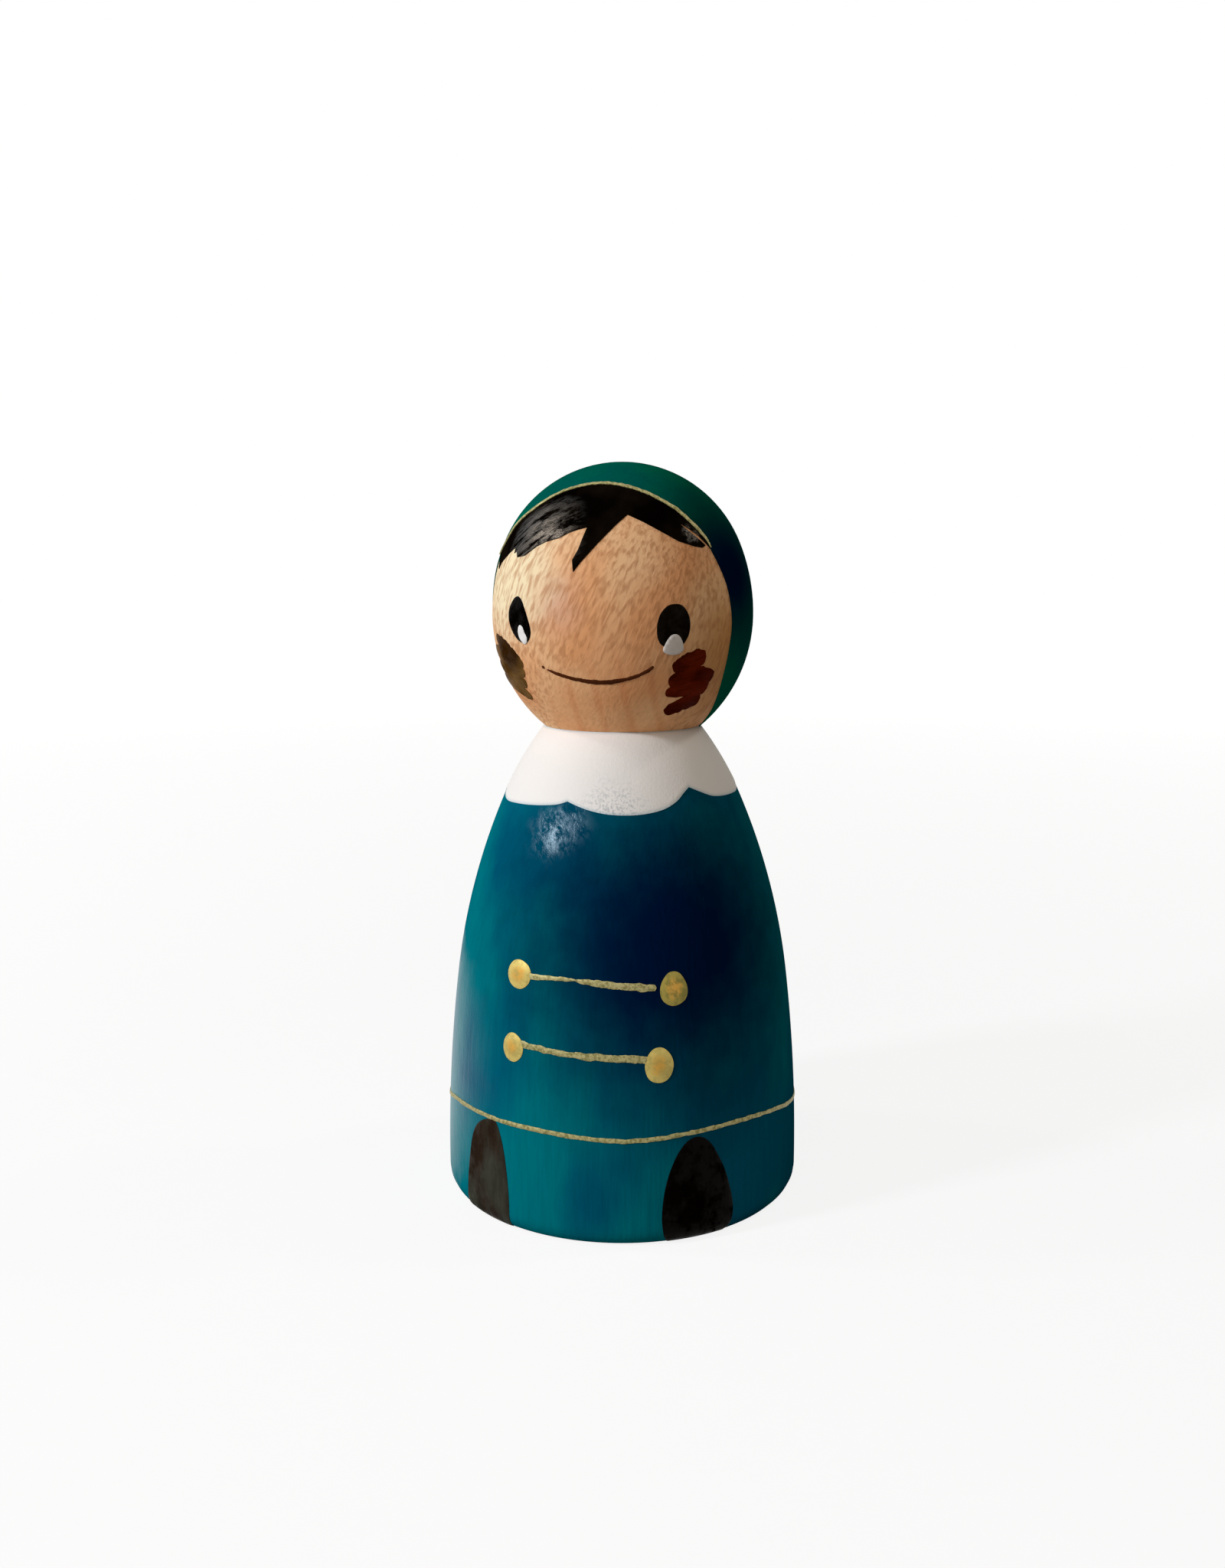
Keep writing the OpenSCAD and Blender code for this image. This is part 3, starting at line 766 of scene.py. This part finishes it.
# Turn, height, half width and half height of each button, and how much narrower its top is
BUTTONS = {
    "upper_left_button": (-23.6, 20.76, 1.13, 1.1, -0.06),
    "upper_right_button": (29.1, 20.28, 1.07, 1.3, 0.16),
    "lower_left_button": (-24.0, 15.06, 0.98, 1.13, 0.0),
    "lower_right_button": (23.7, 14.55, 1.1, 1.38, 0.08),
}
# Edge of the hood as x, height and distance in front of the axis, from the left silhouette over the brow
HOOD_EDGE_SEEN = [
    (-8.16, 53.86, 4.42), (-7.23, 55.01, 4.72), (-5.63, 56.12, 5.5), (-3.67, 57.17, 5.89), (-1.8, 57.7, 6.09),
    (0, 57.86, 6.15), (1.81, 57.58, 6.24), (3.57, 56.94, 6.21), (5.29, 55.98, 5.97), (6.72, 54.74, 5.69),
    (7.62, 53.72, 5.40), (7.98, 53.10, 5.38), (8.72, 51.73, 5.10), (9.28, 50.3, 4.76), (9.56, 48.86, 4.55),
    (9.65, 47.4, 4.36), (9.39, 45.34, 4.21), (8.86, 43.23, 3.64), (8.25, 41.51, 2.62), (7.36, 39.95, 1.12),
    (6.7, 39.22, 0.1),
]
# The same edge on the left, past the silhouette, as turn and height
HOOD_EDGE_HIDDEN = [
    (-91, 39.22), (-88, 40.6), (-84.5, 43), (-82.5, 46), (-80, 49), (-75.5, 51.2), (-69, 52.7),
]
# Lower edge of the hair, seen from the front: x and height
HAIR_EDGE_SEEN = [
    (-8.95, 51.6), (-8.7, 52.03), (-8.22, 52.36), (-7.52, 52.87), (-6.95, 53.2), (-7.05, 52.75),
    (-6.8, 52.9), (-6.66, 52.44), (-5.9, 52.54), (-4.8, 53.22), (-4.03, 53.54), (-2.91, 53.8),
    (-2.05, 54.21), (-1.41, 54.4), (-0.7, 54.57), (-0.97, 53.77), (-1.25, 52.91), (-1.66, 52.16),
    (-1.53, 51.31), (-0.94, 52.05), (0.19, 53.33), (1.44, 54.72), (2.19, 55.49), (3.4, 54.95),
    (4.8, 54.2), (5.95, 53.56), (7.03, 53.2), (7.54, 53.12), (7.72, 53.28), (7.05, 53.9), (6.3, 54.5),
    (5.75, 54.95), (6.45, 54.55), (7.2, 53.98), (7.8, 53.35),
]
# The hair meets the hood along the part of the hood's edge above this height and left of this turn
HAIR_UPPER_HEIGHT = 51.5
HAIR_RIGHT_TURN = 56.2
# The trim follows the hood's edge above this height, and its ends narrow to this share of its width
TRIM_LOW = 52.6
TRIM_TIP = 0.16
# Line of the mouth, and the short first dab at its left
MOUTH = [
    (-22.9, 44.02, 0.1), (-20, 43.84, 0.2), (-13.3, 43.51, 0.27), (-4, 43.2, 0.3), (4.6, 43.16, 0.36),
    (11, 43.28, 0.3), (16.6, 43.5, 0.27), (21.3, 43.82, 0.26), (24.4, 44.12, 0.25), (26.0, 44.36, 0.2),
]
MOUTH_START = [(-25.4, 44.28, 0.17), (-24.9, 44.2, 0.22), (-24.3, 44.1, 0.12)]
LEFT_EYE = [
    (-36.9, 49.5), (-34.4, 49.2), (-32.2, 48.5), (-30.2, 47.7), (-29.1, 46.9), (-30.2, 46.3),
    (-33.2, 45.95), (-37, 46.12), (-40.3, 46.6), (-42.7, 47.25), (-43.8, 47.95), (-43.2, 48.55),
    (-41.4, 49.05), (-39.2, 49.4),
]
RIGHT_EYE = [
    (34, 48.97), (37.6, 48.85), (40.4, 48.2), (41.3, 47.4), (40.6, 46.6), (38.2, 45.95), (34.5, 45.7),
    (30.6, 45.8), (28.0, 46.1), (26.7, 46.7), (26.7, 47.5), (28.0, 48.25), (30.8, 48.8),
]
LEFT_GLINT = [
    (-35.2, 47.35), (-33.6, 47.2), (-32.6, 46.8), (-31.4, 46.4), (-32.0, 46.02), (-33.6, 45.92),
    (-35.0, 46.1), (-36.4, 46.45), (-36.8, 46.85), (-36.2, 47.2),
]
RIGHT_GLINT = [
    (34.4, 46.76), (36.2, 46.64), (37.6, 46.3), (38.5, 45.9), (38.6, 45.55), (36.8, 45.3), (34, 45.22),
    (31.2, 45.3), (29.6, 45.55), (30.2, 46.0), (31.4, 46.4), (32.7, 46.66),
]
RIGHT_CHEEK = [
    [(35.6, 43.95, 0.9), (39, 44.35, 1.35), (45, 44.8, 1.5), (51.2, 45.0, 1.1)],
    [(34.2, 42.98, 0.8), (39, 43.3, 1.4), (46, 43.6, 1.5), (54, 43.5, 1.3), (59, 43.4, 0.9)],
    [(33.6, 42.22, 0.5), (38, 42.35, 1.1), (46, 42.62, 1.4), (53, 42.6, 1.4), (57.6, 42.5, 0.9)],
    [(36.7, 40.6, 0.85), (41, 41.0, 1.25), (47, 41.4, 1.45), (52, 41.6, 1.35), (55.8, 41.75, 0.9)],
]
LEFT_CHEEK = [
    [(-38.2, 44.1, 0.6), (-43, 44.7, 1.2), (-49, 45.35, 1.4), (-56, 45.95, 1.1), (-61, 46.3, 0.6)],
    [(-38.8, 43.5, 0.7), (-45, 44.0, 1.4), (-52, 44.6, 1.5), (-60, 45.0, 1.4), (-69, 45.2, 0.8)],
    [(-40.6, 42.7, 0.7), (-47, 43.1, 1.4), (-53, 43.5, 1.5), (-60, 43.8, 1.4), (-69, 44.0, 0.8)],
    [(-42.0, 41.6, 0.6), (-48, 42.1, 1.2), (-54, 42.5, 1.4), (-61, 42.8, 1.3), (-69, 43.0, 0.8)],
]


def hood_edge():
    """Turn and height of points along the edge of the hood, from the left of the neck over the brow."""
    seen = [(math.degrees(math.atan2(x, forward)), height) for x, height, forward in HOOD_EDGE_SEEN]
    return HOOD_EDGE_HIDDEN + seen


class PEGDOLL_OT_wood(bpy.types.Operator):
    """Gives the turned body, the turned head and the dowel between them their beech"""

    bl_idname = "pegdoll.wood"
    bl_label = "Finish the wood"

    def execute(self, context):
        colours = context.scene.peg_doll_colours
        middle, fleck = colours.wood_middle, colours.wood_fleck
        turned = beech("sanded_beech", colours.wood_pale, middle, fleck, colours.wood_rosy,
                       colours.wood_painted_light, colours.wood_painted_shade)
        dowel = beech("dowel_beech", middle, fleck, fleck, middle, middle, middle)
        for name, material in (("body", turned), ("head", turned), ("neck_dowel", dowel)):
            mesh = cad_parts[name].data
            mesh.materials.clear()
            mesh.materials.append(material)
        return {"FINISHED"}


class PEGDOLL_OT_coat(bpy.types.Operator):
    """Brushes the teal coat over the whole body, from the foot up to the neck"""

    bl_idname = "pegdoll.coat"
    bl_label = "Paint the coat"

    def execute(self, context):
        colours = context.scene.peg_doll_colours
        foot, neck = BODY_TURNING.reach(0.25), BODY_TURNING.reach(BODY_H)
        deselect()
        bpy.ops.mesh.primitive_grid_add(x_subdivisions=180, y_subdivisions=96, size=2, location=(0, 0, 0))
        sheet = bpy.context.object
        for vertex in sheet.data.vertices:
            vertex.co = (vertex.co.x * HALF_SHEET, foot + (neck - foot) * (vertex.co.y + 1) / 2, 1)
        bpy.ops.object.mode_set(mode="EDIT")
        thicken()
        open_walls(sheet, at_seam)
        lay(sheet, BODY_TURNING, WOOD, COAT_TOP, middle=180)
        # The navy spot on the right of the coat is painted shade
        material = brushed_acrylic("teal_acrylic", colours.coat, colours.coat_second, 0.3, patches=(9, 9, 16),
                                   spot=COAT_PAINTED_SHADE, third=colours.coat_painted_shade, bump_mm=0.035, gloss=0.55,
                                   shine="#cfe4ea", polish=(0.9, 0.9, 3.0), polish_turn=(0, -40, 0),
                                   polish_at=COAT_POLISH, sheen_at=COAT_SHEEN)
        finish_piece(sheet, "coat_paint", material, "teal_paint", "coat")
        return {"FINISHED"}


class PEGDOLL_OT_collar(bpy.types.Operator):
    """Dabs the white scalloped collar over the top of the coat"""

    bl_idname = "pegdoll.collar"
    bl_label = "Paint the collar"

    def execute(self, context):
        colours = context.scene.peg_doll_colours
        # Each scallop is a curve of its own, so that the tips between them stay sharp
        edge, run = [], []
        for point in COLLAR_EDGE:
            run.append(point[:2])
            if "tip" in point:
                edge += spline(run, 0.25)[:-1]
                run = [point[:2]]
        edge += spline(run, 0.25)
        outline = edge + [(180, BODY_H), (-180, BODY_H)]
        sheet = cut_sheet(on_sheet(outline, BODY_TURNING), 0.5, edge=0.28, rim=0.45)
        open_walls(sheet, at_seam)
        bpy.ops.object.mode_set(mode="OBJECT")
        # Where its ends meet at the back, the film is whole, except at its lower edge
        low = BODY_TURNING.reach(COLLAR_EDGE[0][1]) + 0.2
        for vertex in sheet.data.vertices:
            if abs(vertex.co.x) > HALF_SHEET - 0.2 and vertex.co.y > low and vertex.co.z > 0.1:
                vertex.co.z = 1
        lay(sheet, BODY_TURNING, COAT_TOP, COLLAR_FILM)
        material = stippled_white("dabbed_white_acrylic", colours.white, colours.white_worn,
                                  colours.white_edge)
        finish_piece(sheet, "collar_paint", material, "white_paint", "collar")
        return {"FINISHED"}


def button_dot(turn, height, half_width, half_height, pinch, rise):
    """A dab of gold: an uneven oval, narrower or wider at its top by its pinch, domed over its middle."""
    radius = BODY_TURNING.station(BODY_TURNING.reach(height), COAT_TOP)[0]
    outline = []
    for k in range(BUTTON_POINTS):
        angle = 2 * math.pi * k / BUTTON_POINTS
        up = math.sin(angle)
        uneven = 1 + 0.05 * noise.noise(Vector((math.cos(angle) * 1.3, up * 1.3, turn)))
        across = half_width * math.cos(angle) * (1 - pinch * up) * uneven
        outline.append((turn + math.degrees(across / radius), height + half_height * up * uneven))
    dot = cut_sheet(on_sheet(outline, BODY_TURNING), 0.16)
    bpy.ops.object.mode_set(mode="OBJECT")
    middle = Vector((turn * DEGREE, BODY_TURNING.reach(height)))
    sheet_width = math.degrees(half_width / radius) * DEGREE
    for vertex in dot.data.vertices:
        if vertex.co.z > 0.5:
            off = Vector(((vertex.co.x - middle.x) / sheet_width, (vertex.co.y - middle.y) / half_height))
            vertex.co.z = BUTTON_EDGE + (1 - BUTTON_EDGE) * max(0.0, 1 - off.length_squared) ** 0.75
    return lay(dot, BODY_TURNING, COAT_TOP, rise)


class PEGDOLL_OT_gold(bpy.types.Operator):
    """Draws the gold hem line, the bars and the buttons on the coat, and the trim of the hood"""

    bl_idname = "pegdoll.gold"
    bl_label = "Paint the gold"

    def execute(self, context):
        colours, sizes = context.scene.peg_doll_colours, context.scene.peg_doll_sizes
        gold, warm, deep = colours.gold, colours.gold_warm, colours.gold_deep
        full = gold_acrylic("button_gold_acrylic", gold, warm, deep, grit=0.6, thin_share=0.35)
        # The upper right button has its own duller gold, which is painted shade
        olive = gold_acrylic("painted_shade_button_gold_acrylic", colours.gold_painted_shade, warm, deep, grit=0.6,
                             thin_share=0.6)
        lines = gold_acrylic("line_gold_acrylic", colours.line_gold, gold, deep, grit=0.25, thin_share=0.8)
        rise, width = sizes.line_rise / MM, sizes.hem_width / MM
        hem = stroke([(turn, height, width) for turn, height in HEM], BODY_TURNING, COAT_TOP, rise, 1, 0.35,
                     ring=True, spacing=0.2)
        finish_piece(hem, "hem_line_paint", lines, "gold_paint", "hem_line")
        for name, (seed, stations) in BARS.items():
            bar = stroke(stations, BODY_TURNING, COAT_TOP, rise, seed, 0.4)
            finish_piece(bar, name + "_paint", lines, "gold_paint", name)
        for name, oval in BUTTONS.items():
            dot = button_dot(*oval, sizes.button_rise / MM)
            # The upper right button takes the gold with painted shade
            material = olive if name == "upper_right_button" else full
            finish_piece(dot, name + "_paint", material, "gold_paint", name)
        edge = [point for point in hood_edge() if point[1] > TRIM_LOW]
        last = len(edge) - 1
        widths = [TRIM_TIP + (1 - TRIM_TIP) * min(1, min(i, last - i) / 2) for i in range(last + 1)]
        trim = [(turn, height, sizes.trim_width / MM * share) for (turn, height), share in zip(edge, widths)]
        trim = stroke(trim, HEAD_TURNING, HOOD_TOP, TRIM_FILM, 9, 0.4)
        finish_piece(trim, "hood_trim_paint", lines, "gold_paint", "hood_trim")
        return {"FINISHED"}


class PEGDOLL_OT_boots(bpy.types.Operator):
    """Paints the two boots over the foot of the coat"""

    bl_idname = "pegdoll.boots"
    bl_label = "Paint the boots"

    def execute(self, context):
        colours = context.scene.peg_doll_colours
        for name, edge, paint, second in (
            # The left boot's grey brown is partly painted sheen from the lit left side
            ("left_boot", LEFT_BOOT, colours.left_boot, colours.left_boot_second),
            ("right_boot", RIGHT_BOOT, colours.boots, colours.boots),
        ):
            material = brushed_acrylic(name + "_acrylic", paint, second, 0.45, streak=(0.3, 0.3, 3.0),
                                       streak_shade=0.75, patches=(2, 2, 5))
            boot = patch(spline(edge, 0.25), BODY_TURNING, COAT_TOP, BOOT_FILM, edge=0.12)
            finish_piece(boot, name + "_paint", material, "boot_paint", name)
        return {"FINISHED"}


class PEGDOLL_OT_hood(bpy.types.Operator):
    """Paints the hood over the back, the sides and the crown of the head"""

    bl_idname = "pegdoll.hood"
    bl_label = "Paint the hood"

    def execute(self, context):
        colours = context.scene.peg_doll_colours
        edge = spline(hood_edge(), 0.3)
        # Seen from the back, the right edge comes first and the front meridian closes the sheet at both ends
        top = min(range(len(edge)), key=lambda i: abs(edge[i][0]))
        right = [(turn - 180, height) for turn, height in edge[top:]][::-1]
        left = [(turn + 180, height) for turn, height in edge[: top + 1]][::-1]
        right[-1] = (-180, right[-1][1])
        left[0] = (180, right[-1][1])
        near = on_sheet([(right[0][0], BODY_H)] + right, HEAD_TURNING)
        far = on_sheet(left + [(left[-1][0], BODY_H)], HEAD_TURNING)
        pole = HEAD_TURNING.length
        sheet = cut_sheet(near + [(-HALF_SHEET, pole), (HALF_SHEET, pole)] + far, 0.6)
        open_walls(sheet, at_seam, lambda centre: centre.y > pole - NEAR)
        lay(sheet, HEAD_TURNING, WOOD, HOOD_TOP, middle=180)
        # The navy spot on the right of the hood is painted shade
        material = brushed_acrylic("hood_acrylic", colours.hood, colours.hood_second, 0.34,
                                   patches=(9, 9, 12), gloss=0.0, spot=HOOD_PAINTED_SHADE, third=colours.hood_painted_shade)
        finish_piece(sheet, "hood_paint", material, "teal_paint", "hood")
        return {"FINISHED"}


class PEGDOLL_OT_hair(bpy.types.Operator):
    """Paints the fringe of hair between the hood and the brow, with its spikes"""

    bl_idname = "pegdoll.hair"
    bl_label = "Paint the hair"

    def execute(self, context):
        colours = context.scene.peg_doll_colours
        lower = [(seen_turn(x, height), height) for x, height in HAIR_EDGE_SEEN]
        upper = [(turn, height) for turn, height in hood_edge()
                 if height > HAIR_UPPER_HEIGHT and turn < HAIR_RIGHT_TURN][::-1]
        hair = patch(lower + spline(upper, 0.25), HEAD_TURNING, WOOD, FACE_FILM, cell=0.4)
        material = brushed_acrylic("hair_acrylic", colours.black, colours.black_second, 0.3,
                                   patches=(3, 3, 4), streak=(0.22, 0.22, 2.6), turn=(0, 58, -20),
                                   bump_mm=0.07, gloss=1.0, shine="#fde6ca", polish=(0.5, 0.5, 3.2),
                                   polish_at=HAIR_POLISH)
        finish_piece(hair, "hair_paint", material, "black_paint", "hair")
        return {"FINISHED"}


class PEGDOLL_OT_face(bpy.types.Operator):
    """Paints the eyes with their glints, the mouth and the cheeks"""

    bl_idname = "pegdoll.face"
    bl_label = "Paint the face"

    def execute(self, context):
        colours, sizes = context.scene.peg_doll_colours, context.scene.peg_doll_sizes
        eye = brushed_acrylic("eye_acrylic", colours.black, colours.black_second, 0.3, streak=(0.3, 0.3, 0.8))
        glint = brushed_acrylic("glint_acrylic", colours.white, colours.glint_second, 0.45,
                                streak=(0.3, 0.3, 0.5), bump_mm=0.03)
        for name, edge in (("left_eye", LEFT_EYE), ("right_eye", RIGHT_EYE)):
            outline = spline(edge, 0.15, closed=True)
            piece = patch(outline, HEAD_TURNING, WOOD, FACE_FILM, cell=0.4, edge=0.08)
            finish_piece(piece, name + "_paint", eye, "black_paint", name)
        for name, edge in (("left_glint", LEFT_GLINT), ("right_glint", RIGHT_GLINT)):
            outline = spline(edge, 0.12, closed=True)
            piece = patch(outline, HEAD_TURNING, WOOD, GLINT_FILM, cell=0.3, edge=0.12, rim=0.6)
            finish_piece(piece, name + "_paint", glint, "white_paint", name)
        brown = brushed_acrylic("mouth_acrylic", colours.mouth, colours.mouth_second, 0.5,
                                streak=(0.6, 0.6, 0.3))
        share = sizes.mouth_width / MM / MOUTH_WIDTH
        runs = [[(turn, height, width * share) for turn, height, width in run]
                for run in (MOUTH_START, MOUTH)]
        mouth = joined([stroke(run, HEAD_TURNING, WOOD, MOUTH_FILM, 20 + i, 0.35, spacing=0.08)
                        for i, run in enumerate(runs)])
        finish_piece(mouth, "mouth_paint", brown, "mouth_paint", "mouth")
        for name, runs, tilt, paint, second, spot in (
            # The left cheek's olive brown is partly painted sheen from the lit left side
            ("left_cheek", LEFT_CHEEK, (0, -68, -50), colours.left_cheek, colours.left_cheek_second,
             CHEEK_BROWN),
            ("right_cheek", RIGHT_CHEEK, (0, 74, 45), colours.cheek, colours.cheek_second, None),
        ):
            material = brushed_acrylic(name + "_acrylic", paint, second, 0.42, streak=(0.18, 0.18, 2.4),
                                       turn=tilt, patches=(2.6, 2.6, 1.6), streak_shade=0.6, bump_mm=0.03,
                                       gloss=0.01, spot=spot, third=colours.left_cheek_dark)
            parts = [stroke(run, HEAD_TURNING, WOOD, CHEEK_FILM + CHEEK_STEP * i, 30 + i, 0.18, across=8)
                     for i, run in enumerate(runs)]
            finish_piece(joined(parts), name + "_paint", material, "cheek_paint", name)
        return {"FINISHED"}


class PEGDOLL_OT_stage(bpy.types.Operator):
    """Lays the paper floor and sets the lamps, the world and the camera"""

    bl_idname = "pegdoll.stage"
    bl_label = "Set the stage"

    def execute(self, context):
        scene = context.scene
        deselect()
        bpy.ops.mesh.primitive_grid_add(x_subdivisions=24, y_subdivisions=24, size=FLOOR_WIDTH,
                                        location=(0, 0, 0))
        floor = bpy.context.object
        floor.name = "floor"
        floor.data.materials.append(matte_paper("matte_paper", scene.peg_doll_colours.floor))
        for name, place, side, power, tint in LAMPS:
            bpy.ops.object.light_add(type="AREA", location=[v * MM for v in place])
            lamp = bpy.context.object
            lamp.name = name
            lamp.data.shape = "RECTANGLE"
            lamp.data.size = lamp.data.size_y = side * MM
            lamp.data.energy = power
            lamp.data.color = linear(tint)[:3]
            aim = Vector(LAMP_AIM) * MM - lamp.location
            lamp.rotation_euler = aim.to_track_quat("-Z", "Y").to_euler()
        scene.world = bpy.data.worlds.new("studio")
        scene.world.use_nodes = True
        tree = scene.world.node_tree
        tree.nodes.clear()
        room = add(tree, "ShaderNodeBackground", {"Color": linear(ROOM_TINT), "Strength": ROOM_LIGHT})
        white = add(tree, "ShaderNodeBackground", {"Color": grey(1.0), "Strength": 1.0})
        mixed = add(tree, "ShaderNodeMixShader",
                    {0: seen_directly(tree), 1: room.outputs["Background"], 2: white.outputs["Background"]})
        add(tree, "ShaderNodeOutputWorld", {"Surface": mixed.outputs["Shader"]})
        bpy.ops.object.camera_add(location=[v * MM for v in CAMERA_PLACE],
                                  rotation=[math.radians(a) for a in CAMERA_TURN])
        camera = bpy.context.object
        camera.name = "camera"
        camera.data.lens, camera.data.sensor_width = CAMERA_LENS, CAMERA_SENSOR
        camera.data.shift_x, camera.data.shift_y = CAMERA_SHIFT
        camera.data.clip_start = MM
        scene.camera = camera
        scene.view_settings.view_transform = "Standard"
        return {"FINISHED"}


class PEGDOLL_PT_panel(bpy.types.Panel):
    """Sizes, colours and steps of the painted doll"""

    bl_label = "Peg doll"
    bl_idname = "PEGDOLL_PT_panel"
    bl_space_type = "VIEW_3D"
    bl_region_type = "UI"
    bl_category = "Peg doll"

    def draw(self, context):
        for step in STEPS:
            self.layout.operator(step.bl_idname)
        for group in (context.scene.peg_doll_sizes, context.scene.peg_doll_colours):
            column = self.layout.column()
            for name in group.__annotations__:
                column.prop(group, name)


STEPS = (
    PEGDOLL_OT_wood, PEGDOLL_OT_coat, PEGDOLL_OT_collar, PEGDOLL_OT_boots, PEGDOLL_OT_gold, PEGDOLL_OT_hood,
    PEGDOLL_OT_hair, PEGDOLL_OT_face, PEGDOLL_OT_stage,
)
CLASSES = (PegDollColours, PegDollSizes) + STEPS + (PEGDOLL_PT_panel,)


def register():
    for cls in CLASSES:
        bpy.utils.register_class(cls)
    bpy.types.Scene.peg_doll_colours = bpy.props.PointerProperty(type=PegDollColours)
    bpy.types.Scene.peg_doll_sizes = bpy.props.PointerProperty(type=PegDollSizes)


def unregister():
    del bpy.types.Scene.peg_doll_sizes
    del bpy.types.Scene.peg_doll_colours
    for cls in reversed(CLASSES):
        bpy.utils.unregister_class(cls)


def main():
    register()
    for step in STEPS:
        family, name = step.bl_idname.split(".")
        getattr(getattr(bpy.ops, family), name)()
    deselect()


if __name__ == "__main__":
    main()
